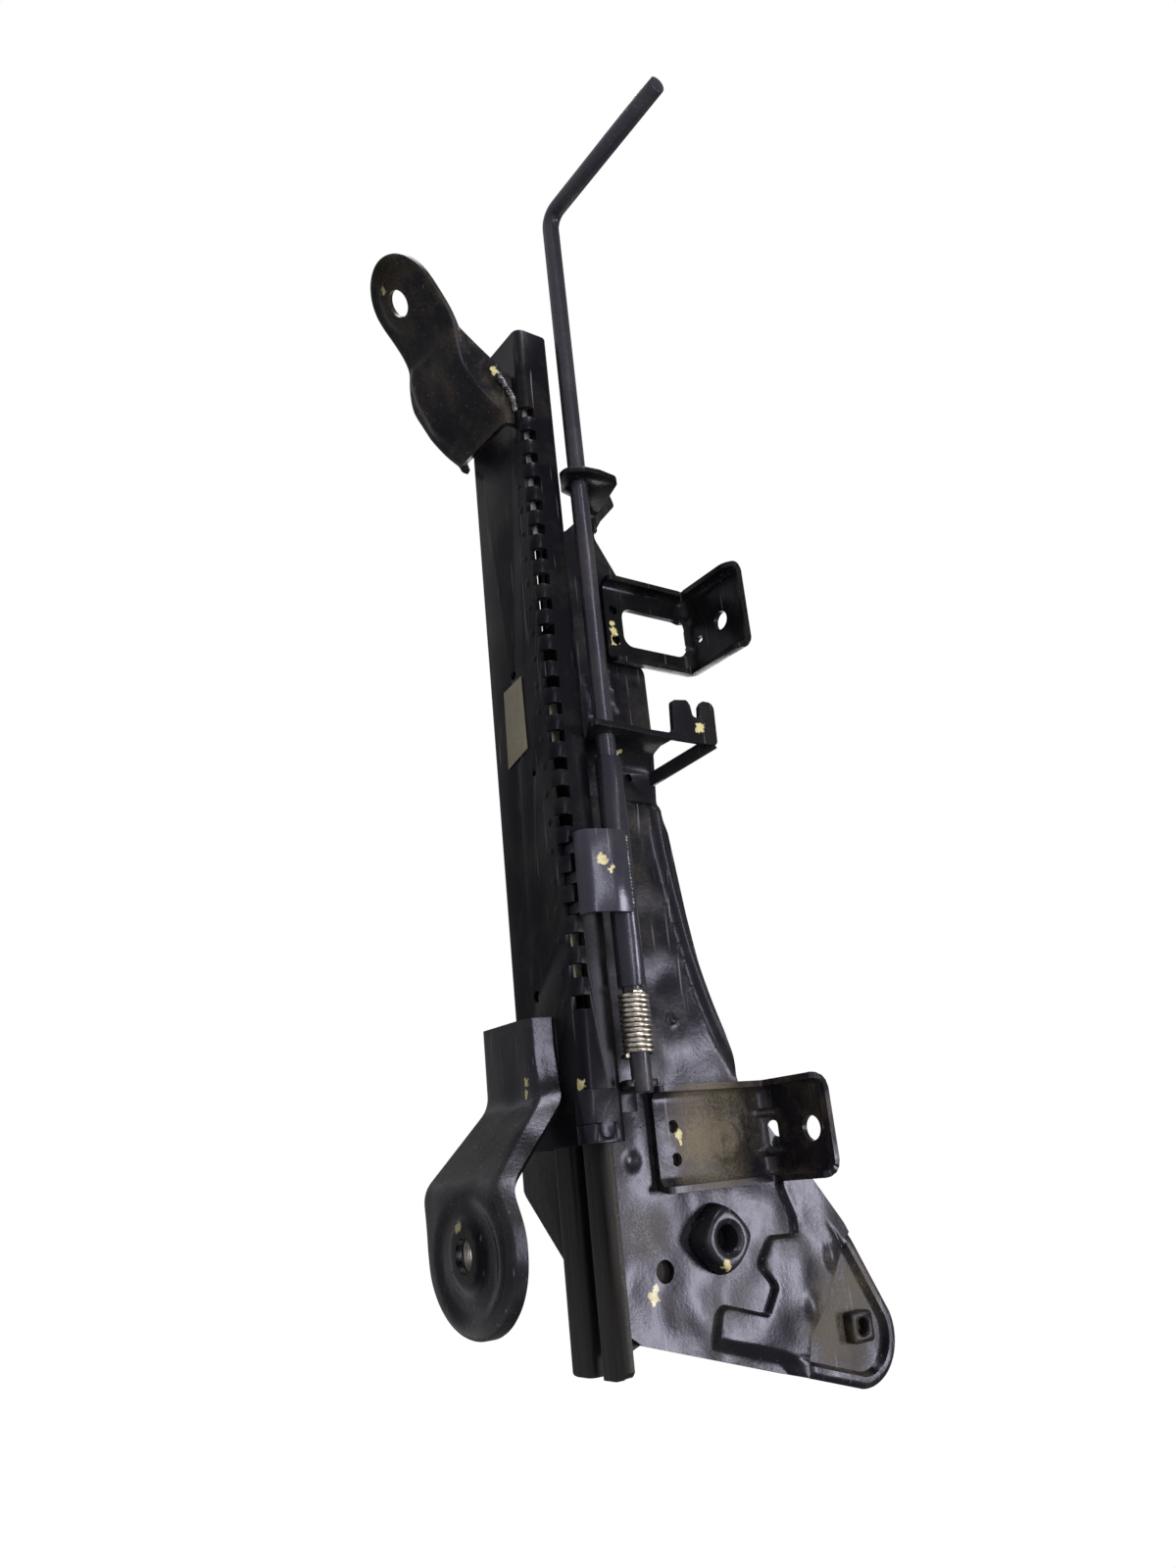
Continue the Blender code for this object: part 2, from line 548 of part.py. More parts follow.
def middle_bracket(made_of):
    """The rod's second tab; its outer edge is bent forward into a notched ear, and a strip braces it."""
    front, out, top = -155.6, ROD_Y + 8.6, 53.0
    outline = over_rail(22.0, 13.4) + [(ROD_Y + 10.0, 10.4, 4), (ROD_Y + 10.6, 14.0, 4), (ROD_Y + 10.2, 26.0, 12),
                                       (out, 40.0, 12), (out, top), (ROD_Y - 1.0, top, 6), (12.0, 58.5, 3), (0.0, 62.5)]
    bracket = folded("middle_bracket", front, -178.0, 13.0, fillet(outline, 0), made_of)
    rear = front - SHEET
    ear = [(rear + NEAR, top - 3.0), (rear + NEAR, 77.4, 2), (front + 15.2, 78.0, 3), (front + 17.6, 76.5, 2.5),
           (front + 17.6, 71.6, 1.5), (front + 14.8, 69.6, 1.2), (front + 9.2, 69.0, 1.5), (front + 9.2, 65.2, 1.5),
           (front + 14.5, 64.4, 1.2), (front + 16.8, 62.8, 1.5), (front + 15.6, 54.4, 2), (front + 1.0, 53.4, 2),
           (front, top - 3.0)]
    join(bracket, prism("ear", fillet(ear, 0, steps=2), "Y", out - SHEET + NEAR, out - NEAR))
    start, end = Vector((rear + 1.6, out - 1.2, 75.6)), Vector((rear - 9.0, ON_PLATE + 2.2, 59.5))
    along = (end - start).normalized()
    flat = along.cross(Vector((1.0, 0.0, 0.0))).normalized()
    edge = along.cross(flat).normalized()
    brace = bmesh.new()
    ends = []
    for point in (start - along * 0.4, end + along * 0.8):
        ends.append([brace.verts.new(point + edge * a * 2.9 + flat * b * 1.0)
                     for a, b in ((-1, -1), (1, -1), (1, 1), (-1, 1))])
    brace.faces.new(ends[0])
    brace.faces.new(ends[1])
    for k in range(4):
        m = (k + 1) % 4
        brace.faces.new((ends[0][k], ends[0][m], ends[1][m], ends[1][k]))
    join(bracket, solid("brace", brace, None))
    drill(bracket, "Y", front - 12.0, 47.0, 1.8, 0, 20, 14)
    return bracket


def inner_bracket(made_of):
    """The dark wing behind the slider: a leg on the far web and a level flange above the floor rail."""
    back = -PLATE_BACK
    low = TAB_LOW + 0.8
    front, rear, out = WING
    path = fillet([(back - SHEET / 2, WEB_TOP - 1), (back - SHEET / 2, low + SHEET / 2, 3.0), (out, low + SHEET / 2)],
                  0, closed=False)
    wing = prism("inner_bracket", ribbon(path, SHEET), "X", rear, front, made_of)
    plan = [(front + 1, 0.0, 0), (front + 1, out - 0.5, 8), (rear + 29, out - 0.5, 8), (rear + 0.5, out / 2, 8),
            (rear + 0.5, 0.0, 0)]
    combine(wing, prism("plan", fillet(plan, 0), "Z", 0, WEB_TOP + 5), "INTERSECT")
    return wing


def rod_end_tab(made_of):
    """The cradle under the rod's rear end, open to the outside."""
    front, low = -296.5, ROD_Z - ROD_RADIUS - 3.6
    outline = over_rail(24.0, low)[:3] + [(RAIL_HALF + 1.5, low, 2), (ROD_Y + 1.0, low, 1), (ROD_Y + 1.0, ROD_Z + 7.6, 2),
                                          (12.0, 33.0, 3), (0.0, 33.0)]
    return folded("rear_rod_tab", front, -286.0 - 21.0, 3.0, fillet(outline, 0), made_of)


def recliner_boss(made_of):
    """A diamond foot that narrows to a round threaded face."""
    x, z = RECLINER
    sides = 32
    data = bmesh.new()
    rings = []
    for y, blend, size in ((ON_PLATE, 0.0, 16.5), (ON_PLATE + 2.5, 0.0, 16.5), (ON_PLATE + 8.0, 0.9, 11.4),
                           (ON_PLATE + 8.8, 1.0, 10.4)):
        ring = []
        for k in range(sides):
            a = 2 * math.pi * k / sides
            diamond = 1.0 / (abs(math.cos(a)) ** 1.35 + abs(math.sin(a)) ** 1.35) ** (1 / 1.35)
            reach = size * (diamond * (1 - blend) + blend)
            ring.append(data.verts.new((x + reach * math.cos(a), y, z + reach * math.sin(a))))
        rings.append(ring)
    for one, two in zip(rings, rings[1:]):
        for k in range(sides):
            m = (k + 1) % sides
            data.faces.new((one[k], one[m], two[m], two[k]))
    data.faces.new(rings[0])
    data.faces.new(rings[-1])
    boss = solid("recliner_boss", data, made_of)
    drill(boss, "Y", x, z, 5.5, 0, 30, 24)
    return boss


def lobe_nut(made_of):
    x, z, half = -398.5, 135.0, 6.0
    nut = prism("lobe_nut", fillet([(x - half, z - half), (x + half, z - half), (x + half, z + half),
                                    (x - half, z + half)], 1.5, steps=2),
                "Y", ON_PLATE, ON_PLATE + 5.2, made_of)
    drill(nut, "Y", x, z, 3.3, 0, 30, 16)
    return nut


def release_rod(made_of):
    bend = fillet([(ROD_REAR, ROD_Y), (ROD_BEND, ROD_Y, BEND_RADIUS), GRIP_TIP], 0, closed=False, steps=8)
    return sweep("release_rod", [Vector((p.x, p.y, ROD_Z)) for p in bend], ROD_RADIUS, 18, made_of)


def lock_tube(made_of):
    tube = prism("lock_tube", circle(ROD_Y, ROD_Z, TUBE_RADIUS, 24), "X", TUBE_REAR, TUBE_FRONT, made_of)
    drill(tube, "X", ROD_Y, ROD_Z, ROD_RADIUS + GAP, TUBE_REAR - 5, TUBE_FRONT + 5)
    return tube


def lock_plate(made_of):
    """A leaf welded to the tube's outer side, folded down and in to the teeth."""
    half = LOCK_SHEET / 2
    out = ROD_Y + TUBE_RADIUS + GAP + half
    flat = TOOTH_LOW + half
    path = fillet([(out, LOCK_TOP), (out, 15.0, 8), (out - 3.2, flat, 5), (RAIL_HALF + 2.6, flat)], 0, closed=False)
    leaf = prism("lock_plate", ribbon(path, LOCK_SHEET), "X", LOCK_REAR, LOCK_FRONT, made_of)
    for n in range(FIRST_TOOTH, FIRST_TOOTH + TEETH):
        front = -n * PITCH - TOOTH_CLEAR
        rear = -n * PITCH - SLOT + TOOTH_CLEAR
        tooth = [(front, RAIL_HALF + 4.0), (rear, RAIL_HALF + 4.0), (rear + 0.5, RAIL_HALF - TOOTH_REACH), (front - 0.5, RAIL_HALF - TOOTH_REACH)]
        join(leaf, prism("tooth", tooth, "Z", TOOTH_LOW + 0.05, TOOTH_LOW + LOCK_SHEET - 0.05))
    return leaf


def torsion_spring(made_of):
    count = round(COIL_TURNS * 14)
    path = []
    for k in range(count + 1):
        a = 2 * math.pi * k / 14
        x = COIL_FRONT + (COIL_REAR - COIL_FRONT) * k / count
        path.append(Vector((x, ROD_Y + COIL_RADIUS * math.cos(a), ROD_Z + COIL_RADIUS * math.sin(a))))
    path.insert(0, path[0] - Vector((0.0, 0.0, COIL_LEG)))
    path.append(path[-1] - Vector((0.0, 0.0, COIL_LEG)))
    return sweep("torsion_spring", path, COIL_WIRE, 8, made_of)


def slide_shoe(name, x, side, made_of):
    """A guide shoe between the floor rail's base and the slider's flange."""
    low, high = RAIL_SHEET + GAP, FLANGE_LOW - GAP
    outline = fillet([(x, low, 1.5), (x - 24.0, low, 1.5), (x - 24.0, high), (x, high)], 0, steps=2)
    inner, outer = WEB_HALF + 3.2, FLANGE_HALF - 1.4
    return prism(name, outline, "Y", min(side * inner, side * outer), max(side * inner, side * outer), made_of)


def label(made_of):
    outline = [(-125.0, 4.5), (-127.0, -10.0), (-162.0, -11.0), (-158.0, 5.0)]
    return prism("blank_label", outline, "Z", -GAP - 0.3, -GAP, made_of)


def build():
    for old in list(bpy.data.objects):
        bpy.data.objects.remove(old, do_unlink=True)
    black = (0.018, 0.018, 0.021)
    floor_rail(material("floor_rail_black_paint", black, 0.0, 0.42))
    end_band("end_band_front", BAND_FRONT, BAND_SEAM, 3.4,
             material("end_band_front_black_paint", (0.03, 0.03, 0.034), 0.0, 0.35))
    end_band("end_band_rear", RAIL_REAR, BAND_SEAM - GAP, 3.4 + GAP,
             material("end_band_rear_black_paint", (0.028, 0.028, 0.032), 0.0, 0.35))
    front_foot(material("front_foot_black_paint", (0.022, 0.022, 0.024), 0.0, 0.4))
    rear_foot(material("rear_foot_black_paint", (0.024, 0.024, 0.026), 0.0, 0.38))
    pad_collar(material("rear_pad_collar_zinc", (0.5, 0.49, 0.46), 1.0, 0.4))
    slider(material("slider_greased_steel", (0.045, 0.036, 0.028), 0.0, 0.5))
    side_plate(material("side_plate_black_paint", (0.026, 0.026, 0.031), 0.0, 0.33))
    front_bracket(material("front_bracket_black_paint", (0.02, 0.02, 0.022), 0.0, 0.4))
    rear_bracket(material("rear_bracket_dusty_paint", (0.05, 0.042, 0.034), 0.0, 0.55))
    rod_tab(material("front_rod_tab_black_paint", black, 0.0, 0.4))
    middle_bracket(material("middle_bracket_black_paint", black, 0.0, 0.38))
    rod_end_tab(material("rear_rod_tab_black_paint", black, 0.0, 0.4))
    inner_bracket(material("inner_bracket_greased_steel", (0.035, 0.029, 0.024), 0.0, 0.55))
    recliner_boss(material("recliner_boss_black_paint", (0.03, 0.03, 0.035), 0.0, 0.34))
    lobe_nut(material("lobe_nut_black_paint", (0.035, 0.03, 0.028), 0.0, 0.5))
    release_rod(material("release_rod_black_paint", (0.015, 0.015, 0.017), 0.0, 0.3))
    lock_tube(material("lock_tube_black_paint", (0.026, 0.026, 0.03), 0.0, 0.36))
    lock_plate(material("lock_plate_black_paint", (0.028, 0.028, 0.033), 0.0, 0.34))
    torsion_spring(material("spring_bare_steel", (0.62, 0.6, 0.57), 1.0, 0.25))
    acetal = (0.75, 0.73, 0.68)
    for name, x, side in (("slide_shoe_front_left", -136.0, -1), ("slide_shoe_front_right", -136.0, 1),
                          ("slide_shoe_rear_left", -238.0, -1), ("slide_shoe_rear_right", -238.0, 1)):
        slide_shoe(name, x, side, material(name + "_acetal", acetal, 0.0, 0.45))
    label(material("blank_label_film", (0.42, 0.38, 0.28), 0.0, 0.6))


build()
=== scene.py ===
import math

import bmesh
import bpy
import numpy as np
from mathutils import Matrix, Vector
from mathutils.geometry import delaunay_2d_cdt


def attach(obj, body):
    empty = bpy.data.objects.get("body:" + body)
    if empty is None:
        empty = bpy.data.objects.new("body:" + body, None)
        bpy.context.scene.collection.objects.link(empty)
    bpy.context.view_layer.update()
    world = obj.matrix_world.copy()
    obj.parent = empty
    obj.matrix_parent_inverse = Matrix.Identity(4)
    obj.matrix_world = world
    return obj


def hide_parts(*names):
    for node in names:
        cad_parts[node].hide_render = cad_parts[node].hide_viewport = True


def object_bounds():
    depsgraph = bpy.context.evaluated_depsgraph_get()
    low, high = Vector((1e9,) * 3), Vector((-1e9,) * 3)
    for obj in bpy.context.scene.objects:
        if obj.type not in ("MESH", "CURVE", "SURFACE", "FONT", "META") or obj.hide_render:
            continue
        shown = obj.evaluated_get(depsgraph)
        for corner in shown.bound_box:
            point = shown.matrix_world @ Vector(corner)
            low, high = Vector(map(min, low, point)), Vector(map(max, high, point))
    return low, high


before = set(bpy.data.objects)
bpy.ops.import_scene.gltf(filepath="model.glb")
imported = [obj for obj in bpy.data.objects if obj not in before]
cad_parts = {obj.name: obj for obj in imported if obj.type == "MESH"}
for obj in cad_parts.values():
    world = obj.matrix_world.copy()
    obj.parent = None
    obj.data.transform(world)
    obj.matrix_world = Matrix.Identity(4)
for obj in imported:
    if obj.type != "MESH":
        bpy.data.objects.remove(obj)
cad_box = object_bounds()

# Floor rail
# A C-section roll-formed from 2.3 mm steel strip, with the lock slots punched through its lower corner
# and the whole rail dipped in black electrocoat. Nothing below is fixed by screws: the feet are welded on.

MM = 0.001


def rail(x, y, z):
    """A place in the rail's own millimetres, in the part's frame."""
    return Vector((x + 351.0, y - 3.5, z + 43.0)) * MM


def linear(colour):
    """A hex colour as written on screen, turned to linear values."""
    parts = [int(colour[i:i + 2], 16) / 255 for i in (1, 3, 5)]
    return (*[p / 12.92 if p <= 0.04045 else ((p + 0.055) / 1.055) ** 2.4 for p in parts], 1.0)


def fill(tree, node, values):
    """Sets a node's inputs: a socket or a node's first output is linked, anything else is a value."""
    for socket, value in values.items():
        if isinstance(value, bpy.types.Node):
            value = value.outputs[0]
        if isinstance(value, bpy.types.NodeSocket):
            tree.links.new(value, node.inputs[socket])
        else:
            node.inputs[socket].default_value = value
    return node


def add(tree, kind, values, **settings):
    """A node with its settings, its values and its links. A kind without Node in its name is a shader's."""
    made = tree.nodes.new(kind if "Node" in kind else "ShaderNode" + kind)
    for name, value in settings.items():
        setattr(made, name, value)
    return fill(tree, made, values)


def started(name):
    """A new material, with its node tree, its shader and the piece's own coordinates."""
    made = bpy.data.materials.new(name)
    made.use_nodes = True
    tree = made.node_tree
    place = add(tree, "TexCoord", {}).outputs["Object"]
    return made, tree, tree.nodes["Principled BSDF"], place


def dip_paint(name, coat="#0f0f13", dirt="#4a4337", dusty=0.3, rough=0.3, waves=0.5, shine=0.15, daubs=(),
        soiled=()):
    """Black electrocoat on pressed steel: a thin satin film that follows the sheet's slight waves. The eye
    gets a deep black with a lilac sheen that breaks up over the waves, dull patches of dust and hairline
    scratches. A daub is a spot of pale yellow inspection paint, and a soiled place one that holds brown dust:
    x, y, z and radius in the rail's millimetres, and for the dust how much of it there is."""
    made, tree, shader, place = started(name)
    # Dust settles in patches about 25 mm wide, made of grains drawn 0.7 mm wide so that they show.
    patches = add(tree, "TexNoise", {"Vector": place, "Scale": 40.0, "Detail": 6.0, "Roughness": 0.66})
    grains = add(tree, "TexNoise", {"Vector": place, "Scale": 1400.0, "Detail": 2.0})
    film = add(tree, "MapRange", {"Value": patches, "From Min": 0.46, "From Max": 0.74, "To Max": dusty})
    speck = add(tree, "MapRange", {"Value": grains, "From Min": 0.38, "From Max": 0.62, "To Min": 0.45,
        "To Max": 1.3})
    dust = add(tree, "Math", {0: film, 1: speck}, operation="MULTIPLY", use_clamp=True)
    for x, y, z, radius, amount in soiled:
        far = add(tree, "VectorMath", {0: place, 1: rail(x, y, z)}, operation="DISTANCE")
        blurred = add(tree, "Math", {0: patches, 1: -0.9 * radius * MM, 2: far.outputs["Value"]},
            operation="MULTIPLY_ADD")
        near = add(tree, "MapRange", {"Value": blurred, "From Min": 0.1 * radius * MM,
            "From Max": 0.65 * radius * MM, "To Min": amount, "To Max": 0.0})
        dust = add(tree, "Math", {0: near, 1: speck, 2: dust}, operation="MULTIPLY_ADD", use_clamp=True)
    colour = add(tree, "Mix", {"Factor": dust, 6: linear(coat), 7: linear(dirt)}, data_type="RGBA")
    # Hairline scratches along the rail, about 30 mm long and drawn 0.3 mm wide.
    drawn = add(tree, "Mapping", {"Vector": place, "Scale": (33.0, 900.0, 900.0), "Rotation": (0.0, 0.1,
        0.05)})
    hair = add(tree, "TexNoise", {"Vector": drawn, "Scale": 1.0, "Detail": 1.0})
    mark = add(tree, "MapRange", {"Value": hair, "From Min": 0.70, "From Max": 0.78, "To Max": 0.5})
    colour = add(tree, "Mix", {"Factor": mark, 6: colour.outputs[2], 7: linear("#7d7b80")}, data_type="RGBA")
    dull = add(tree, "Math", {0: dust, 1: 0.55, 2: rough}, operation="MULTIPLY_ADD", use_clamp=True)
    if daubs:
        ragged = add(tree, "TexNoise", {"Vector": place, "Scale": 450.0, "Detail": 3.0})
        drift = add(tree, "VectorMath", {0: ragged.outputs["Color"], 1: (0.5, 0.5, 0.5)},
            operation="SUBTRACT")
        drift = add(tree, "VectorMath", {0: drift, "Scale": 5.0 * MM}, operation="SCALE")
        moved = add(tree, "VectorMath", {0: place, 1: drift}, operation="ADD")
        wet = None
        for x, y, z, radius in daubs:
            far = add(tree, "VectorMath", {0: moved, 1: rail(x, y, z)}, operation="DISTANCE")
            spot = add(tree, "MapRange", {"Value": far.outputs["Value"], "From Min": radius * 0.75 * MM,
                "From Max": radius * MM, "To Min": 1.0, "To Max": 0.0})
            wet = spot if wet is None else add(tree, "Math", {0: wet, 1: spot}, operation="MAXIMUM")
        streak = add(tree, "Mix", {"Factor": ragged, 6: linear("#8f7f45"), 7: linear("#e0d8a8")},
            data_type="RGBA")
        colour = add(tree, "Mix", {"Factor": wet, 6: colour.outputs[2], 7: streak.outputs[2]},
            data_type="RGBA")
    # Orange peel of the dip about 1.5 mm wide, over waves of the sheet about 30 mm wide that the press left.
    peel = add(tree, "TexNoise", {"Vector": place, "Scale": 650.0, "Detail": 2.0})
    wave = add(tree, "TexNoise", {"Vector": place, "Scale": 34.0, "Detail": 1.0, "Roughness": 0.35})
    broad = add(tree, "Bump", {"Height": wave, "Strength": waves, "Distance": 6.0 * MM})
    fine = add(tree, "Bump", {"Height": peel, "Strength": 0.5, "Distance": 0.12 * MM, "Normal": broad})
    # The worn film mirrors less than fresh paint, with a faint lilac cast.
    fill(tree, shader, {"Base Color": colour.outputs[2], "Roughness": dull, "Normal": fine,
        "Specular IOR Level": shine, "Specular Tint": linear("#e9e6ff")})
    return made


def linked(name, mesh):
    """The scene's object for a mesh, a lamp or the camera."""
    made = bpy.data.objects.new(name, mesh)
    bpy.context.scene.collection.objects.link(made)
    return made


def meshed(name, data):
    """The scene's object for a shape built in mesh code."""
    mesh = bpy.data.meshes.new(name)
    data.to_mesh(mesh)
    data.free()
    return linked(name, mesh)


def softened(node, body, made_of, width=0.35, trim=None):
    """The CAD piece with its sheared edges rounded, on its body; trim may move a corner first."""
    data = bmesh.new()
    data.from_mesh(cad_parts[node].data)
    bmesh.ops.remove_doubles(data, verts=data.verts, dist=2e-6)
    for corner in data.verts if trim else ():
        trim(corner.co)
    bmesh.ops.dissolve_limit(data, angle_limit=math.radians(0.5), verts=data.verts, edges=data.edges)
    return fitted(meshed(node + "_dressed", data), node, body, made_of, width)


def fitted(made, node, body, made_of, width=0.35):
    """Smooth shading, rounded edges and the piece's place in the part."""
    made.data.materials.clear()
    made.data.materials.append(made_of)
    made.data.shade_smooth()
    if width:
        edge = made.modifiers.new("sheared_edge", "BEVEL")
        edge.width = width * MM
        edge.segments = 2
        edge.limit_method = "ANGLE"
        edge.angle_limit = math.radians(35)
        edge.use_clamp_overlap = True
        edge.harden_normals = True
    if node:
        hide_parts(node)
    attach(made, body)
    return made


rail_paint = dip_paint("floor_rail_black_dip_paint", coat="#0e0e12", dusty=0.22, rough=0.32, waves=0.3,
    shine=0.1, daubs=((-296.7, 20.5, 0.0, 2.4),))
softened("floor_rail", "lower", rail_paint)


def ruled(name, start, sizes):
    """A Geometry Nodes tree with named inputs: the tree, its inputs, and each size by its identifier."""
    tree = bpy.data.node_groups.new(name + "_rule", "GeometryNodeTree")
    tree.interface.new_socket(start, in_out="INPUT", socket_type="NodeSocketGeometry")
    values = {}
    for size, value in sizes.items():
        kind = "NodeSocketFloat" if isinstance(value, float) else "NodeSocketVector"
        values[tree.interface.new_socket(size, in_out="INPUT", socket_type=kind).identifier] = value
    tree.interface.new_socket("Made", in_out="OUTPUT", socket_type="NodeSocketGeometry")
    return tree, add(tree, "NodeGroupInput", {}).outputs, values


def grown(made, tree, shape, made_of, values):
    """Ends a tree in plain painted geometry, runs it on an object and keeps the result as its mesh."""
    real = add(tree, "GeometryNodeRealizeInstances", {"Geometry": shape})
    smooth = add(tree, "GeometryNodeSetShadeSmooth", {"Geometry": real})
    coated = add(tree, "GeometryNodeSetMaterial", {"Geometry": smooth, "Material": made_of})
    add(tree, "NodeGroupOutput", {0: coated})
    run = made.modifiers.new("rule", "NODES")
    run.node_group = tree
    for identifier, value in values.items():
        run[identifier] = value
    bpy.context.view_layer.update()
    ready = made.evaluated_get(bpy.context.evaluated_depsgraph_get())
    mesh = bpy.data.meshes.new_from_object(ready)
    made.modifiers.remove(run)
    made.data = mesh
    return made


def scattered(name, places, sizes, made_of):
    """Low round pips at the places, as one plain mesh."""
    seeds = bpy.data.meshes.new(name)
    seeds.from_pydata(places, [], [])
    tree, given, values = ruled(name, "Seeds", {"Radius": sizes[0] * MM, "Height": sizes[1] * MM})
    vary = add(tree, "FunctionNodeRandomValue", {2: 0.85, 3: 1.15, "Seed": 7}, data_type="FLOAT").outputs[1]
    ball = add(tree, "GeometryNodeMeshIcoSphere", {"Radius": 1.0, "Subdivisions": 3})
    reach = add(tree, "Math", {0: given["Radius"], 1: vary}, operation="MULTIPLY")
    size = add(tree, "CombineXYZ", {"X": reach, "Y": reach, "Z": given["Height"]})
    placed = add(tree, "GeometryNodeInstanceOnPoints", {"Points": given["Seeds"], "Instance": ball,
        "Scale": size})
    return grown(linked(name, seeds), tree, placed, made_of, values)


# A pressed pip stands beside each lock slot.
SLOTS = 23
SLOT_PITCH = 12.0
pips = scattered("slot_pips", [rail(-1.5 - SLOT_PITCH * k, 15.2, 0.05) for k in range(SLOTS)], (1.6, 0.5),
    rail_paint)
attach(pips, "lower")

# Wear strip
# A plastic strip of one stepped section lies in the rail's corner, inside the first lock slots.
# Moulded polypropylene, scuffed grey low down; where it stands up the wall it is painted black, as painted
# shade under the rail's lip.


def dull_plastic(name):
    """Grey polypropylene, moulded: waxy and matt, with scuffs along it, painted black above a set height as
    painted shade.
    """
    made, tree, shader, place = started(name)
    # Scuffs about 5 mm long and 0.8 mm wide.
    drawn = add(tree, "Mapping", {"Vector": place, "Scale": (200.0, 1200.0, 1200.0)})
    scuffs = add(tree, "TexNoise", {"Vector": drawn, "Scale": 1.0, "Detail": 4.0})
    share = add(tree, "MapRange", {"Value": scuffs, "From Min": 0.35, "From Max": 0.65})
    colour = add(tree, "Mix", {"Factor": share, 6: linear("#5f5d62"), 7: linear("#a5a2a6")}, data_type="RGBA")
    # Painted shade: above 47.6 mm the strip turns near-black, for the shade up the wall under the rail's lip.
    height = add(tree, "SeparateXYZ", {"Vector": place}).outputs["Z"]
    greased = add(tree, "MapRange", {"Value": height, "From Min": 47.6 * MM, "From Max": 49.0 * MM})
    colour = add(tree, "Mix", {"Factor": greased, 6: colour.outputs[2], 7: linear("#0c0b0b")},
        data_type="RGBA")
    skin = add(tree, "Bump", {"Height": scuffs, "Strength": 0.3, "Distance": 0.1 * MM})
    fill(tree, shader, {"Base Color": colour.outputs[2], "Normal": skin, "Roughness": 0.5})
    return made


data = bmesh.new()
# Its low leg keeps clear of the shoes and of the lock teeth, which reach in to y 19.
section = ((16.2, 2.35), (18.8, 2.35), (18.8, 6.3), (21.65, 7.6), (21.65, 13.0), (20.9, 13.0), (20.9, 8.2),
    (18.0, 6.9), (18.0, 3.15), (16.2, 3.15))
ends = [[data.verts.new(rail(x, y, z)) for y, z in section] for x in (7.0, -69.0)]
for k in range(len(section)):
    after = (k + 1) % len(section)
    data.faces.new((ends[0][k], ends[0][after], ends[1][after], ends[1][k]))
data.faces.new(ends[0][::-1])
data.faces.new(ends[1])
bmesh.ops.recalc_face_normals(data, faces=data.faces)
strip = meshed("wear_strip", data)
fitted(strip, None, "lower", dull_plastic("wear_strip_grey_polypropylene"), 0.2)

# End bands
# Two thin straps bent round the rail's rear corner, one with a round tongue that locks into the other.
# Spring steel strip under the same black dip, a little glossier.
for half in ("front", "rear"):
    softened("end_band_" + half, "lower", dip_paint(f"end_band_{half}_black_dip_paint", coat="#1b1b21",
        dusty=0.2, rough=0.27, shine=0.15, daubs=((-296.5, 24.0, 1.0, 2.4),) if half == "front" else ()),
        0.15)

# Front foot
# A pressed pan of 2.5 mm steel with turned-up edges, bent down to a round pad for the front floor bolt,
# and welded to the rail. One rib stiffens the web.


def fillet(points, radius, closed=True, steps=5):
    """The outline with arcs for corners. A point's third value is its own radius."""
    found = []
    for i, point in enumerate(points):
        corner = Vector(point[:2])
        wanted = point[2] if len(point) > 2 else radius
        if wanted == 0 or (not closed and i in (0, len(points) - 1)):
            found.append(corner)
            continue
        before = Vector(points[i - 1][:2]) - corner
        after = Vector(points[(i + 1) % len(points)][:2]) - corner
        half = before.angle(after) / 2
        reach = min(wanted / math.tan(half), 0.49 * before.length, 0.49 * after.length)
        centre = corner + (before.normalized() + after.normalized()).normalized() * reach / math.cos(half)
        start = corner + before.normalized() * reach - centre
        turn = start.angle_signed(corner + after.normalized() * reach - centre)
        for k in range(steps + 1):
            angle = -turn * k / steps
            found.append(centre + Vector((start.x * math.cos(angle) - start.y * math.sin(angle),
                start.x * math.sin(angle) + start.y * math.cos(angle))))
    return found


def shifted(path, distance, closed=False):
    """The path moved to its left by a distance, corners mitred."""
    found = []
    last = len(path) - 1
    for i, point in enumerate(path):
        before = path[i - 1] if closed or i > 0 else point
        after = path[(i + 1) % len(path)] if closed or i < last else point
        one = (point - before).normalized() if before != point else (after - point).normalized()
        two = (after - point).normalized() if after != point else one
        side = (one + two).normalized()
        found.append(point + Vector((-side.y, side.x)) * distance / max(0.4, side.dot(one)))
    return found


def spaced(points, step, closed=True):
    """The outline with points added so that no side is longer than the step."""
    found = []
    ends = points[1:] + (points[:1] if closed else [])
    for a, b in zip(points, ends):
        cuts = max(1, math.ceil((b - a).length / step))
        found += [a.lerp(b, k / cuts) for k in range(cuts)]
    return found if closed else found + [points[-1]]


def within(spots, outline):
    """Which of the spots lie inside a closed outline."""
    inside = np.zeros(len(spots), bool)
    for a, b in zip(outline, outline[1:] + outline[:1]):
        if a.y != b.y:
            crosses = (a.y > spots[:, 1]) != (b.y > spots[:, 1])
            inside ^= crosses & (spots[:, 0] < (b.x - a.x) * (spots[:, 1] - a.y) / (b.y - a.y) + a.x)
    return inside


def distance(spots, path, closed=True):
    """How far each spot lies from a path."""
    nearest = np.full(len(spots), 1e9)
    for a, b in zip(path, path[1:] + (path[:1] if closed else [])):
        side = np.array(b - a)
        start = spots - np.array(a)
        share = np.clip(start @ side / max(side @ side, 1e-12), 0, 1)
        nearest = np.minimum(nearest, np.hypot(*(start - share[:, None] * side).T))
    return nearest


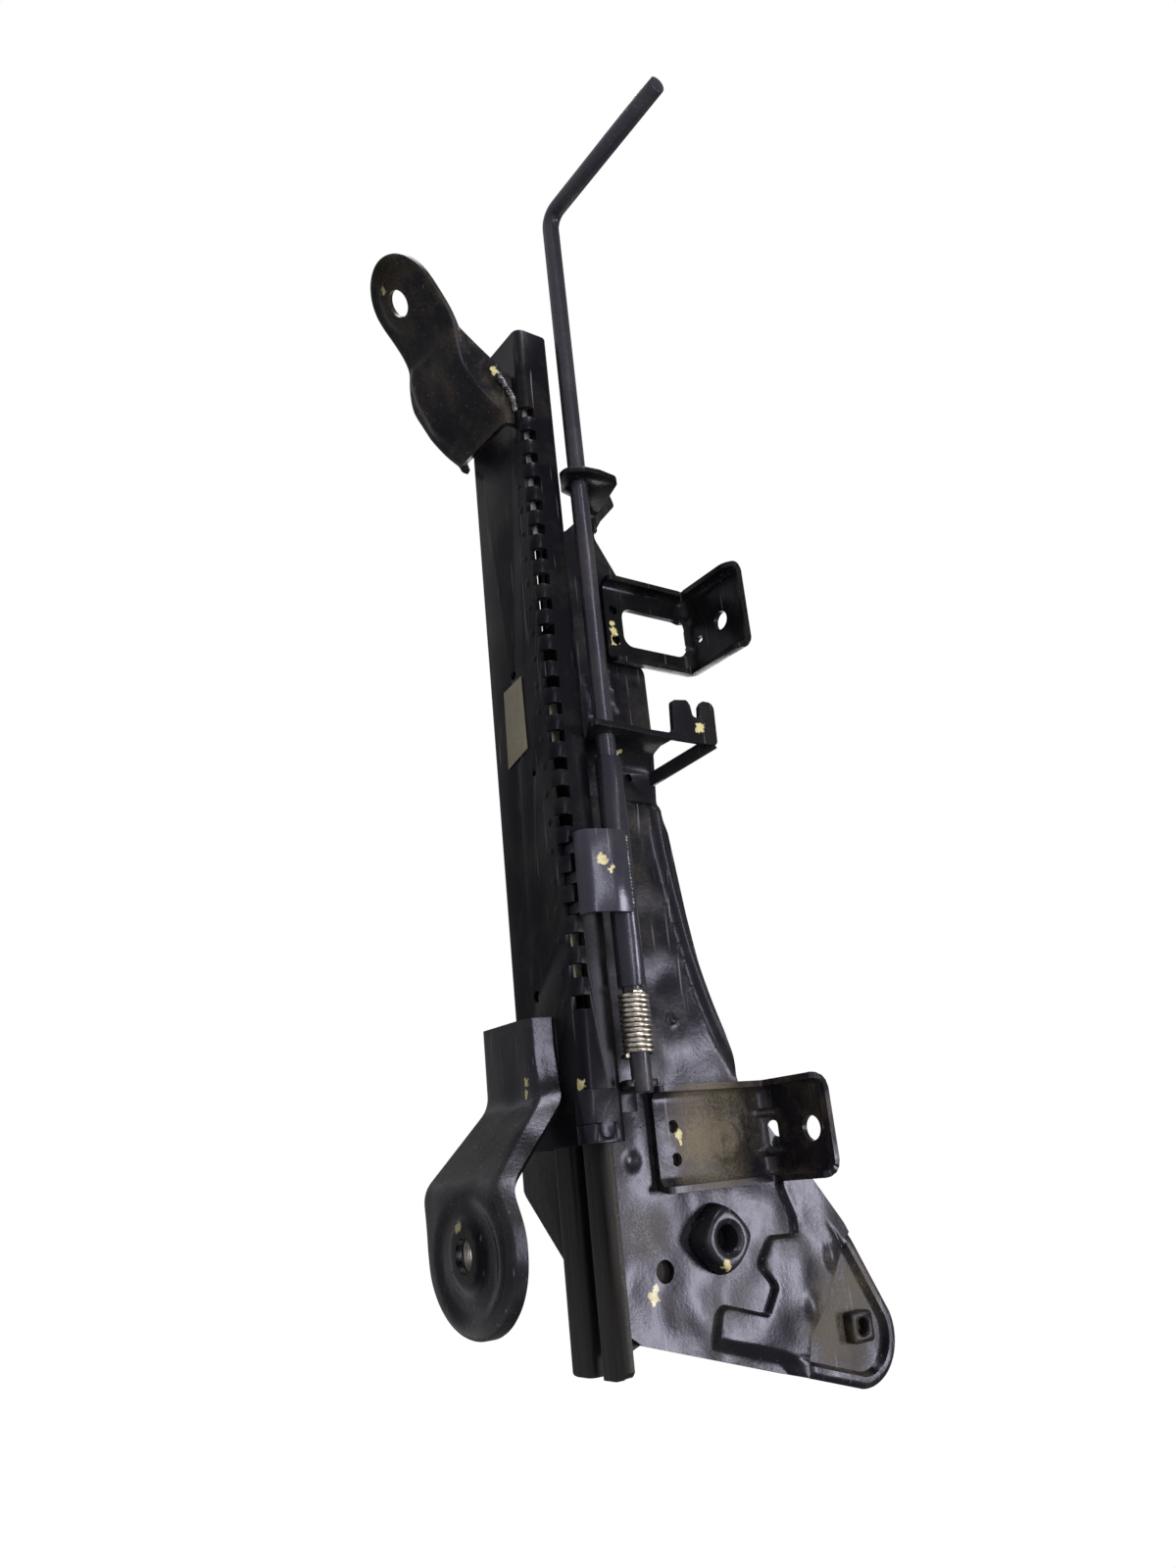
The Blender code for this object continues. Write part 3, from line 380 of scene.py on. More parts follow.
def filled(outline, holes, creases, step):
    """Points and triangles that fill an outline round its holes, with edges along every crease."""
    rings = [spaced(ring, step) for ring in (outline, *holes)]
    lines = [spaced(line, step, closed=False) for line in creases]
    points, edges = [], []
    for line, closed in [(ring, True) for ring in rings] + [(line, False) for line in lines]:
        start, count = len(points), len(line)
        points += line
        edges += [(start + i, start + (i + 1) % count) for i in range(count if closed else count - 1)]
    corners = np.array([tuple(p) for p in rings[0]])
    low, high = corners.min(axis=0), corners.max(axis=0)
    spots = np.array([(x + (k % 2) * step / 2, y)
        for k, y in enumerate(np.arange(low[1], high[1], step * 0.87))
        for x in np.arange(low[0], high[0], step)])
    keep = within(spots, rings[0])
    for ring in rings[1:]:
        keep &= ~within(spots, ring)
    spots = spots[keep]
    for line, closed in [(ring, True) for ring in rings] + [(line, False) for line in lines]:
        spots = spots[distance(spots, line, closed) > 0.55 * step]
    points += [Vector(p) for p in spots]
    found = delaunay_2d_cdt(points, edges, [], 0, 1e-5)
    flat = np.array([tuple(p) for p in found[0]])
    faces = np.array(found[2])
    centres = flat[faces].mean(axis=1)
    keep = within(centres, rings[0])
    for ring in rings[1:]:
        keep &= ~within(centres, ring)
    used, faces = np.unique(faces[keep], return_inverse=True)
    return flat[used], faces.reshape(-1, 3)


def circle(u, v, radius, sides=28):
    return [Vector((u + radius * math.cos(2 * math.pi * k / sides),
        v + radius * math.sin(2 * math.pi * k / sides))) for k in range(sides)]


def level(path, x):
    """The height of a path of (x, z) points at x."""
    for one, two in zip(path, path[1:]):
        if min(one[0], two[0]) <= x <= max(one[0], two[0]):
            return one[1] + (two[1] - one[1]) * (x - one[0]) / (two[0] - one[0])
    return path[0][1] if abs(x - path[0][0]) < abs(x - path[-1][0]) else path[-1][1]


def curve_through(points, step):
    """A smooth path through the points, with a spot about every step."""
    found = []
    for i in range(len(points) - 1):
        a, b = Vector(points[max(i - 1, 0)]), Vector(points[i])
        c, d = Vector(points[i + 1]), Vector(points[min(i + 2, len(points) - 1)])
        count = max(1, round((c - b).length / step))
        for k in range(count):
            t = k / count
            found.append(0.5 * (2 * b + (c - a) * t + (2 * a - 5 * b + 4 * c - d) * t ** 2
                + (3 * b - a - 3 * c + d) * t ** 3))
    return found + [Vector(points[-1])]


def ramp(value, low, high):
    """0 below low, 1 above high and a smooth slope between."""
    share = np.clip((value - low) / (high - low), 0, 1)
    return share * share * (3 - 2 * share)


def pan(name, left, right, web, rim, corner, lean, holes, creases, press, step=1.6, rows=7):
    """The underside of a pressed pan, as one skin: a web with a turned-up edge. Left and right run from its
    open end to its round end. Corner gives the edge's radius at x, lean how many degrees the wall on the
    release bar's side leans out at x, and press how far the web is pushed down at each (x, y)."""
    border = curve_through(left + right[::-1], step)
    inward = [(b - a).normalized() for a, b in zip(border, shifted(border, 1.0))]
    if inward[0].y * border[0].y > 0:
        inward = [-n for n in inward]
    data = bmesh.new()

    def vertex(x, y, lift):
        return data.verts.new(rail(x, y, lift))

    columns, inner = [], []
    for point, normal in zip(border, inward):
        column = []
        radius = corner(point.x)
        tilt = math.radians(lean(point.x)) * float(ramp(-normal.y, 0.1, 0.6))
        bottom = level(web, point.x)
        foot = bottom + radius * (1 - math.sin(tilt))
        top = max(rim(point.x), foot + 0.3)
        run = (top - foot) * math.tan(tilt)
        start = point + normal * (run + radius * math.cos(tilt))
        inner.append(start)
        for k in range(rows + 1):
            turn = (math.pi / 2 - tilt) * k / rows
            spot = start - normal * radius * math.sin(turn)
            down = press(np.array([[spot.x, spot.y]]))[0] if k == 0 else 0.0
            column.append(vertex(spot.x, spot.y, level(web, spot.x) + radius * (1 - math.cos(turn)) - down))
        edge = start - normal * radius * math.cos(tilt)
        count = max(1, round((top - foot) / 4))
        for k in range(1, count + 1):
            spot = edge.lerp(point, k / count)
            column.append(vertex(spot.x, spot.y, foot + (top - foot) * k / count + level(web,
                spot.x) - bottom if k < count else top))
        columns.append(column)
    for one, two in zip(columns, columns[1:]):
        tall, short = (one, two) if len(one) >= len(two) else (two, one)
        for a in range(len(tall) - 1):
            corners = [tall[a], tall[a + 1], short[min(a + 1, len(short) - 1)], short[min(a, len(short) - 1)]]
            data.faces.new(list(dict.fromkeys(corners)))
    flat, faces = filled(inner, holes, creases, step * 1.3)
    heights = [level(web, x) for x, y in flat] - press(flat)
    spots = [vertex(x, y, z) for (x, y), z in zip(flat, heights)]
    for face in faces:
        data.faces.new([spots[i] for i in face])
    bmesh.ops.remove_doubles(data, verts=data.verts, dist=2e-5)
    bmesh.ops.recalc_face_normals(data, faces=data.faces)
    under = max(data.faces, key=lambda f: -f.calc_center_median().z)
    if under.normal.z > 0:
        bmesh.ops.reverse_faces(data, faces=data.faces)
    return meshed(name, data)


def walled(made, thickness, even=True):
    """Gives a skin its sheet thickness, inward."""
    wall = made.modifiers.new("sheet", "SOLIDIFY")
    wall.thickness = thickness * MM
    wall.offset = -1.0
    wall.use_even_offset = even
    wall.use_quality_normals = even
    return made


SHEET = 2.5
FRONT_PAD = (54.0, 0.5, -45.6)
FRONT_SLOPE = 0.76
foot_bend = FRONT_PAD[2] + FRONT_SLOPE * (FRONT_PAD[0] - 37.0)
front_web = fillet([(-8.0, -5.4), (-3.0, -5.6), (9.5, -19.0), (21.0, -26.8), (37.0, foot_bend),
    (79.0, FRONT_PAD[2] - FRONT_SLOPE * 25)], 9.0, closed=False, steps=8)
pad_reach = 21.0 / math.hypot(1, FRONT_SLOPE)
pad_turns = [math.radians(a) for a in (0, 18, 36, 54, 70, 84)]
foot_xs = (-6.0, -2.0, 2.0, 6.0, 10.0, 15.0, 20.0, 26.0, 32.0, 37.0, 42.0, 48.0)
left_ys = (-27.0, -28.5, -30.0, -30.5, -30.5, -30.5, -30.5, -29.5, -26.5, -22.5, -20.3, -19.7)
right_ys = (17.0, 17.0, 17.0, 17.0, 17.0, 17.0, 17.0, 17.4, 18.4, 19.6, 21.2, 22.0)
tip = (FRONT_PAD[0] + 1.5, FRONT_PAD[1] + 0.8)
foot_left = list(zip(foot_xs, left_ys))
foot_left += [(tip[0] + pad_reach * math.sin(a), tip[1] - 21.0 * math.cos(a)) for a in pad_turns]
foot_right = list(zip(foot_xs, right_ys))
foot_right += [(tip[0] + pad_reach * math.sin(a), tip[1] + 21.0 * math.cos(a)) for a in pad_turns]


def front_rim(at):
    lip = level(front_web, at) + 4.6
    return max(lip, min(-0.3, -0.3 - (at - 20.0) * 1.75))


def front_press(spots):
    """The raised ring round the bolt hole, the rib on the web and the crease at the bend."""
    along = (spots[:, 0] - FRONT_PAD[0]) * math.hypot(1, FRONT_SLOPE)
    ring = np.hypot(along, spots[:, 1] - FRONT_PAD[1])
    rib = distance(spots, [Vector((9.0, -20.5)), Vector((29.0, -18.0))], closed=False)
    fold = distance(spots, [Vector((34.0, -18.0)), Vector((31.5, 2.0))], closed=False)
    lift = 1.6 * (1 - ramp(ring, 10.5, 13.5)) + 2.4 * (1 - ramp(rib, 0.5, 6.0)) + 0.9 * (1 - ramp(fold, 0.2,
        2.6))
    return lift - 0.5 * ramp(ring, 13.0, 15.0) * (1 - ramp(ring, 15.5, 19.0))


stretch = math.hypot(1, FRONT_SLOPE)
squeezed = [Vector((FRONT_PAD[0] + (p.x - FRONT_PAD[0]) / stretch, p.y)) for p in circle(FRONT_PAD[0],
    FRONT_PAD[1], 6.0)]
rings = [[Vector((FRONT_PAD[0] + (p.x - FRONT_PAD[0]) / stretch, p.y)) for p in circle(FRONT_PAD[0],
    FRONT_PAD[1], r, 36)] for r in (11.0, 12.5, 14.0)]
front_paint = dip_paint("front_foot_black_dip_paint", coat="#131314", dirt="#5a4f3d", dusty=0.6, rough=0.28,
    shine=0.17, daubs=((62.3, -3.0, -51.9, 2.5), (20.0, 17.6, -9.0, 2.6), (17.0, 17.6, -7.5, 1.8)))
front_foot = pan("front_foot_dressed", foot_left, foot_right, front_web, front_rim, lambda x: 3.4,
    lambda x: 5.0, [squeezed], [ring + ring[:1] for ring in rings], front_press)
fitted(walled(front_foot, SHEET), "front_foot", "lower", front_paint, 0.4)


def weld_metal(name):
    """The bead of an arc weld under the black dip, rubbed on its ripples: bare steel grey over black."""
    made, tree, shader, place = started(name)
    # Rubbed places about 2 mm wide.
    rubbed = add(tree, "TexNoise", {"Vector": place, "Scale": 500.0, "Detail": 4.0})
    share = add(tree, "MapRange", {"Value": rubbed, "From Min": 0.44, "From Max": 0.62})
    colour = add(tree, "Mix", {"Factor": share, 6: linear("#19191c"), 7: linear("#8b898c")}, data_type="RGBA")
    metal = add(tree, "Math", {0: share, 1: 0.8}, operation="MULTIPLY")
    skin = add(tree, "Bump", {"Height": rubbed, "Strength": 0.5, "Distance": 0.2 * MM})
    fill(tree, shader, {"Base Color": colour.outputs[2], "Metallic": metal, "Normal": skin,
        "Roughness": 0.34})
    return made


def weld_bead(name, path, width, body, made_of, pitch=1.5):
    """A weld along a path of rail places: overlapping ripples, one for each pitch, by Geometry Nodes."""
    line = bpy.data.meshes.new(name)
    line.from_pydata([rail(*p) for p in path], [(k, k + 1) for k in range(len(path) - 1)], [])
    tree, given, values = ruled(name, "Path", {"Half Width": width / 2 * MM, "Pitch": pitch * MM})
    curve = add(tree, "GeometryNodeMeshToCurve", {"Mesh": given["Path"]})
    even = add(tree, "GeometryNodeResampleCurve", {"Curve": curve, "Length": given["Pitch"]}, mode="LENGTH")
    ball = add(tree, "GeometryNodeMeshIcoSphere", {"Radius": 1.0, "Subdivisions": 3})
    vary = add(tree, "FunctionNodeRandomValue", {2: 0.82, 3: 1.12, "Seed": 3}, data_type="FLOAT").outputs[1]
    reach = add(tree, "Math", {0: given["Half Width"], 1: vary}, operation="MULTIPLY")
    thick = add(tree, "Math", {0: reach, 1: 0.8}, operation="MULTIPLY")
    size = add(tree, "CombineXYZ", {"X": thick, "Y": reach, "Z": thick})
    placed = add(tree, "GeometryNodeInstanceOnPoints", {"Points": even, "Instance": ball, "Scale": size})
    made = grown(linked(name, line), tree, placed, made_of, values)
    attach(made, body)


bare_weld = weld_metal("weld_bare_ripples")
weld_bead("front_foot_weld", [(17.0, 17.7, -7.6), (12.0, 17.9, -4.2), (6.0, 18.2, -0.9), (1.0, 18.3, -0.6)],
    3.4, "lower", bare_weld, 1.3)

# Rear foot
# The same kind of pan: a level web under the rail that ramps down to an oval pad, with the tall flange on the
# side of the release bar and a raised ring round the rear floor bolt.
REAR_PAD = (-351.0, 3.5, -43.0)
rear_web = fillet([(-255.0, -10.0), (-300.0, -10.0), (-329.0, REAR_PAD[2]), (-400.0, REAR_PAD[2])], 11.0,
    closed=False, steps=9)
rear_left = [(-269.5, -33.5), (-282.0, -33.5), (-294.0, -33.5), (-303.0, -33.2), (-312.0, -31.6),
    (-322.0, -29.8), (-334.0, -27.9), (-343.0, -27.0)]
rear_left += [(REAR_PAD[0] - 27.5 * math.sin(a), 4.4 - 31.0 * math.cos(a)) for a in pad_turns]
rear_right = [(-269.5, 5.5), (-282.0, 5.5), (-294.0, 7.4), (-303.0, 12.0), (-312.0, 17.2), (-322.0, 23.0),
    (-333.0, 29.6), (-343.0, 34.4)]
rear_right += [(REAR_PAD[0] - 27.5 * math.sin(a), 4.4 + 31.0 * math.cos(a)) for a in pad_turns]


def rear_rim(at):
    tall, short = 9.7, 6.4
    share = min(1.0, max(0.0, (-290.0 - at) / 45.0))
    return level(rear_web, at) + tall + (short - tall) * share


def rear_press(spots):
    ring = np.hypot(spots[:, 0] - REAR_PAD[0], spots[:, 1] - REAR_PAD[1])
    oval = np.hypot((spots[:, 0] - REAR_PAD[0] + 1.0) / 21.0, (spots[:, 1] - 4.0) / 23.0)
    return 1.7 * (1 - ramp(ring, 10.5, 13.5)) - 1.2 * (1 - ramp(oval, 0.86, 1.0))


rear_rings = [circle(REAR_PAD[0], REAR_PAD[1], r, 40) for r in (11.0, 12.5, 14.0)]
rear_foot = pan("rear_foot_dressed", rear_left, rear_right, rear_web, rear_rim, lambda x: 3.6,
    lambda x: 16.0 + 8.5 * float(ramp(-x, 294.0, 304.0)) - 10.0 * float(ramp(-x, 326.0, 340.0)),
    [circle(REAR_PAD[0], REAR_PAD[1], 6.0)], [ring + ring[:1] for ring in rear_rings], rear_press, rows=10)
fitted(walled(rear_foot, SHEET), "rear_foot", "lower", dip_paint("rear_foot_black_dip_paint", coat="#0c0c0e",
    dirt="#443f33", dusty=0.4, rough=0.23, shine=0.42, daubs=((-341.4, 0.3, -44.0, 2.6),
    (-293.3, -0.8, -10.0, 2.0), (-297.5, -0.9, -10.0, 1.6))), 0.4)

# Collar on the rear pad
# A turned steel collar on top of the rear pad, round the bolt.
# Zinc-plated, and seen only through the pad's hole from below.


def zinc(name):
    """Passivated zinc plate on turned steel: a grey metal with a soft shine and faint turning rings."""
    made, tree, shader, place = started(name)
    bloom = add(tree, "TexNoise", {"Vector": place, "Scale": 260.0, "Detail": 4.0})
    colour = add(tree, "Mix", {"Factor": bloom, 6: linear("#7f7b74"), 7: linear("#c9c6c0")}, data_type="RGBA")
    rough = add(tree, "MapRange", {"Value": bloom, "To Min": 0.3, "To Max": 0.55})
    # Turning rings 1 mm apart.
    rings = add(tree, "TexWave", {"Vector": place, "Scale": 100.0 * math.pi, "Distortion": 0.4},
        bands_direction="Z")
    cut = add(tree, "Bump", {"Height": rings.outputs["Fac"], "Strength": 0.3, "Distance": 0.1 * MM})
    fill(tree, shader, {"Base Color": colour.outputs[2], "Roughness": rough, "Normal": cut, "Metallic": 1.0})
    return made


softened("rear_pad_collar", "lower", zinc("collar_zinc_plate"), 0.4)

# Blank label
# A small paper label stuck under the rail, with nothing on it.
# Coated paper, faded and stained.


def paper(name):
    """Coated paper film gone beige: matt, with grey stains of grease."""
    made, tree, shader, place = started(name)
    stain = add(tree, "TexNoise", {"Vector": place, "Scale": 160.0, "Detail": 6.0, "Roughness": 0.7})
    colour = add(tree, "Mix", {"Factor": stain, 6: linear("#8a826e"), 7: linear("#5c574b")}, data_type="RGBA")
    crease = add(tree, "Bump", {"Height": stain, "Strength": 0.5, "Distance": 0.2 * MM})
    fill(tree, shader, {"Base Color": colour.outputs[2], "Normal": crease, "Roughness": 0.7})
    return made


softened("blank_label", "lower", paper("label_faded_paper"), 0.08)

# Sliding rail
# An inverted T folded from 2 mm strip that runs inside the floor rail. Its underside is coated in old grease
# and dust, brown-black, with paler rubbed streaks along its length.


def greasy(name, coat, rubbed):
    """Old grease with road dust on dipped steel: a brown-black, half glossy film that gathers in streaks
    along the slide, with the paint rubbed to a paler grey between."""
    made, tree, shader, place = started(name)
    # Streaks run along the slide: about 60 mm long and 3 mm wide.
    drawn = add(tree, "Mapping", {"Vector": place, "Scale": (17.0, 330.0, 330.0)})
    streaks = add(tree, "TexNoise", {"Vector": drawn, "Scale": 1.0, "Detail": 5.0, "Roughness": 0.6})
    crumbs = add(tree, "TexNoise", {"Vector": place, "Scale": 1100.0, "Detail": 3.0})
    share = add(tree, "MapRange", {"Value": streaks, "From Min": 0.35, "From Max": 0.68})
    colour = add(tree, "Mix", {"Factor": share, 6: linear(coat), 7: linear(rubbed)}, data_type="RGBA")
    dull = add(tree, "MapRange", {"Value": crumbs, "To Min": 0.3, "To Max": 0.62})
    lumps = add(tree, "Bump", {"Height": streaks, "Strength": 0.5, "Distance": 0.35 * MM})
    fine = add(tree, "Bump", {"Height": crumbs, "Strength": 0.4, "Distance": 0.1 * MM, "Normal": lumps})
    fill(tree, shader, {"Base Color": colour.outputs[2], "Roughness": dull, "Normal": fine,
        "Specular IOR Level": 0.18})
    return made


softened("slider_rail", "upper", greasy("slider_greased_steel", coat="#16120e", rubbed="#2b292a"), 0.4)

# Slide shoes
# Four moulded blocks of white acetal that stand between the rails for the slider to run on.
# They are greased, and show only through the slots.


def acetal(name):
    """Natural acetal, moulded: milky white and waxy, yellowed by grease, with a soft gloss."""
    made, tree, shader, place = started(name)
    grease = add(tree, "TexNoise", {"Vector": place, "Scale": 220.0, "Detail": 5.0})
    colour = add(tree, "Mix", {"Factor": grease, 6: linear("#b9b3a4"), 7: linear("#6a5f4c")},
        data_type="RGBA")
    skin = add(tree, "Bump", {"Height": grease, "Strength": 0.2, "Distance": 0.2 * MM})
    fill(tree, shader, {"Base Color": colour.outputs[2], "Normal": skin, "Roughness": 0.38})
    return made


shoe_plastic = acetal("shoe_natural_acetal")
for node in ("slide_shoe_front_left", "slide_shoe_front_right", "slide_shoe_rear_left",
        "slide_shoe_rear_right"):
    softened(node, "upper", shoe_plastic, 0.5)

# Side plate
# One 2.5 mm pressing that stands on the slider and carries the seat. It has a pressed step that runs in a
# zigzag behind the recliner boss, a long bead under its upper edge, and a rolled rim round the lobe.
PLATE_FACE = 7.6
LOBE = (-402.0, 136.4, 20.0)
plate_points = [(-44.0, 12.6, 3), (-50.0, 27.0, 4), (-41.0, 36.0, 6), (-24.0, 41.0, 4), (-19.0, 56.0, 2.5),
    (-27.0, 59.0, 2.5), (-38.0, 49.5, 5), (-47.0, 44.0, 5), (-74.0, 60.5, 4), (-84.0, 52.5, 5),
    (-104.0, 52.5, 5), (-112.0, 65.0, 6), (-150.0, 65.0, 20), (-177.0, 63.0, 10), (-190.0, 67.5, 10),
    (-226.0, 72.0, 25), (-262.0, 78.0, 25), (-300.0, 90.0, 15), (-341.0, 122.5, 20), (-358.0, 135.5, 20)]
plate_points += [(LOBE[0] + LOBE[2] * math.cos(math.radians(a)),
    LOBE[1] + LOBE[2] * math.sin(math.radians(a)), 0) for a in range(70, 196, 6)]
plate_edge = fillet(plate_points + [(-389.5, 26.0, 4), (-380.0, 12.6, 4)], 0, steps=6)
step_region = fillet([(-322.0, 106.0), (-340.5, 104.0), (-352.4, 108.6), (-361.0, 109.0), (-360.4, 94.3),
    (-369.0, 87.3), (-378.0, 94.6), (-388.7, 87.0), (-382.0, 64.3), (-394.0, 60.0), (-412.0, 56.0),
    (-432.0, 96.0), (-412.0, 104.0), (-398.0, 107.5), (-387.6, 119.0), (-373.7, 127.9), (-352.0, 146.0),
    (-318.0, 113.0)], 3.2, steps=5)
bead_line = curve_through([(-181.0, 61.5), (-192.0, 62.0), (-210.0, 64.5), (-238.0, 69.5), (-266.0, 77.5),
    (-286.0, 86.5), (-297.0, 95.0)], 4)
plate_holes = [circle(-366.0, 40.0, 4.3, 24), circle(-157.0, 48.0, 1.8, 12), circle(-148.0, 57.5, 1.5, 12)]


def plate_press(spots):
    """How far the plate is pushed outward at each (x, z)."""
    deep = np.where(within(spots, step_region), 1, -1) * distance(spots, step_region)
    lift = 3.0 * ramp(deep, -1.7, 0.2)
    bead = distance(spots, bead_line, closed=False)
    lift = np.maximum(lift, 3.0 * (1 - ramp(bead, 0.4, 4.4)))
    edge = distance(spots, plate_edge)
    # Round the lobe a raised rim with a groove inside it; below it the edge rolls away from the seat.
    lobe = ramp(spots[:, 1], 96.0, 108.0) * ramp(-spots[:, 0], 354.0, 366.0)
    rim = 3.3 * (1 - ramp(edge, 4.4, 6.2)) * (0.5 + 0.5 * np.sqrt(np.clip(edge / 1.8, 0, 1)))
    lift = np.maximum(lift, rim * lobe) - 0.6 * lobe * ramp(edge, 5.8, 6.6) * (1 - ramp(edge, 7.0, 8.6))
    roll = (ramp(spots[:, 1], 24.0, 34.0) * (1 - ramp(spots[:, 1], 90.0, 104.0))
        * ramp(-spots[:, 0], 368.0, 376.0))
    curl = np.clip(edge / 5.0, 0, 1)
    lift = lift * (1 - roll) + roll * (
        np.minimum(lift, 3.0 * ramp(edge, 3.0, 8.0)) - 2.3 * (1 - np.sqrt(1 - (1 - curl) ** 2)))
    lower = ramp(-spots[:, 0], 300.0, 330.0) * (1 - ramp(spots[:, 1], 16.0, 19.0))
    lift = np.maximum(lift, 1.6 * lower)
    # Sharp folds that stiffen the second step and the plate's front corner.
    for x, z, u, v in ((-371.0, 124.5, 8.0, 4.5), (-388.5, 110.5, 8.5, 5.0)):
        gusset = np.hypot((spots[:, 0] - x) / u, (spots[:, 1] - z) / v)
        lift = lift + 1.5 * (1 - ramp(gusset, 0.0, 1.0))
    pip = np.hypot(spots[:, 0] + 271.7, spots[:, 1] - 57.5)
    lift = lift + 1.0 * (1 - ramp(pip, 0.6, 2.3))
    for x, z, size in ((-173.5, 51.0, 5.5), (-325.2, 29.7, 5.0), (-128.0, 41.0, 4.0)):
        lift = lift - 1.1 * (1 - ramp(np.hypot(spots[:, 0] - x, spots[:, 1] - z), 0.5, size))
    for one, two in (((-121.0, 31.0), (-140.0, 33.0)), ((-140.0, 33.0), (-146.0, 44.0)),
            ((-118.0, 44.0), (-136.0, 47.0))):
        line = distance(spots, [Vector(one), Vector(two)], closed=False)
        lift = lift + 0.8 * (1 - ramp(line, 0.3, 2.2))
    return lift


def creased(region, offsets):
    """Lines beside the edge of a region, so that the mesh follows its slopes."""
    area = sum(a.x * b.y - b.x * a.y for a, b in zip(region, region[1:] + region[:1]))
    moved = [shifted(region, o if area > 0 else -o, closed=True) for o in offsets]
    return [line + line[:1] for line in moved]


def pressed(name, flat, faces, lay, facing):
    """A skin laid out in space from its flat pattern, with its faces turned to one side."""
    mesh = bpy.data.meshes.new(name)
    mesh.from_pydata(lay(flat), [], faces.tolist())
    data = bmesh.new()
    data.from_mesh(mesh)
    bmesh.ops.recalc_face_normals(data, faces=data.faces)
    if sum((f.normal * f.calc_area() for f in data.faces), Vector()).dot(Vector(facing)) < 0:
        bmesh.ops.reverse_faces(data, faces=data.faces)
    data.to_mesh(mesh)
    data.free()
    return linked(name, mesh)


plate_creases = creased(step_region, (-1.7, -1.35, -1.0, -0.65, -0.3, 0.05, 0.3))
plate_creases += [shifted(bead_line, o) for o in (-4.4, -3.4, -2.4, -1.4, -0.4, 0.4, 1.4, 2.4, 3.4)]
# The rim and the rolled edge follow the outline from under the lobe's front shoulder to the lower corner.
rear_edge = [p for p in spaced(plate_edge, 2.0) if p.x < -352.0 and p.y > 22.0]
rear_edge.sort(key=lambda p: math.atan2(p.y - 95.0, p.x + 340.0) % (2 * math.pi))
plate_creases += [shifted(rear_edge, o) for o in (0.5, 1.1, 1.8, 2.8, 3.8, 4.5, 5.1, 5.7, 6.3, 7.0, 7.8, 8.6)]
plate_creases += [ring + ring[:1] for ring in [circle(-271.7, 57.5, r, 16) for r in (0.6, 1.1, 1.7, 2.3)]]
flat, faces = filled(plate_edge, plate_holes, plate_creases, 1.9)
plate = pressed("side_plate_dressed", flat, faces,
    lambda f: [rail(x, PLATE_FACE + up, z) for (x, z), up in zip(f, plate_press(f))], (0, 1, 0))
fitted(walled(plate, SHEET, even=False), "side_plate", "upper", dip_paint(
    "side_plate_black_dip_paint", coat="#141419", dirt="#5c5446", dusty=0.3, rough=0.27,
    soiled=((-393.0, 8.0, 130.0, 24.0, 0.6), (-352.0, 8.0, 30.0, 14.0, 0.3)), shine=0.3, waves=0.75,
    daubs=((-374.4, 7.6, 33.2, 2.6), (-371.5, 7.6, 34.5, 1.8))), 0.4)

# Seat brackets
# Two brackets pressed from strip, each with a leg on the plate, a bend and a level seat for the seat frame,
# and both long edges turned up like a tray. The rear one holds the brown dust of the car floor.


LEG_BACK = 7.9


def tray(name, x_front, x_rear, z_low, z_seat, y_out, rim, bend, holes, press):
    """The outer skin of a bracket, laid out along its strip: u runs along the rail, v from the leg's foot."""
    wall = LEG_BACK + SHEET
    leg = z_seat - bend - z_low
    arc = math.pi / 2 * bend
    seat = y_out - wall - bend
    curl = 3.2
    wide = x_front - x_rear
    turn = math.pi / 2 * curl
    extra = turn - curl + rim - curl

    def lay(flat):
        found = []
        lift = press(flat)
        for (u, v), up in zip(flat, lift):
            over = max(0.0, abs(u) - (wide / 2 - curl))
            side = 1 if u > 0 else -1
            angle = min(over, turn) / curl
            across = side * (min(abs(u), wide / 2 - curl) + curl * math.sin(angle))
            rise = curl * (1 - math.cos(angle)) + max(0.0, over - turn) + up
            rise = min(rise, bend - 0.8 + max(0.0, leg - v, v - leg - arc))
            if v < leg:
                y, z, ny, nz = wall, z_low + v, 1.0, 0.0
            elif v < leg + arc:
                a = (v - leg) / bend
                y, z = wall + bend * (1 - math.cos(a)), z_low + leg + bend * math.sin(a)
                ny, nz = math.cos(a), -math.sin(a)
            else:
                y, z, ny, nz = wall + bend + (v - leg - arc), z_seat, 0.0, -1.0
            found.append(rail((x_front + x_rear) / 2 + across, y + ny * rise, z + nz * rise))
        return found

    half = wide / 2 + extra
    long = leg + arc + seat
    outline = fillet([(-half, 0.0, 3), (half, 0.0, 3), (half, long, 8), (-half, long, 8)], 0, steps=6)
    marks = [[Vector((s * (wide / 2 - curl + turn * k / 4), 0.5)),
        Vector((s * (wide / 2 - curl + turn * k / 4), long - 0.5))] for s in (-1, 1) for k in range(5)]
    marks += [[Vector((-half + 0.2, leg + arc * k / 8)),
        Vector((half - 0.2, leg + arc * k / 8))] for k in range(9)]
    marks += [[Vector((-half + 0.2, long - k)), Vector((half - 0.2, long - k))] for k in (0.7, 1.4, 2.1, 2.8)]
    flat, faces = filled(outline, holes, marks, 1.3)
    return pressed(name, flat, faces, lay, (0, 1, -0.6))


def turned_end(flat, end, height=1.8):
    """The seat's outer end turns up a little, as the long edges do."""
    return height * ramp(flat[:, 1], end - 2.6, end - 0.2)


def front_seat_press(flat):
    lift = turned_end(flat, 85.9)
    for u in (-7.5, 7.5):
        stud = np.hypot((flat[:, 0] - u) / 3.0, (flat[:, 1] - 47.0) / 5.5)
        lift = lift + 1.5 * (1 - ramp(stud, 0.1, 1.0))
    return lift


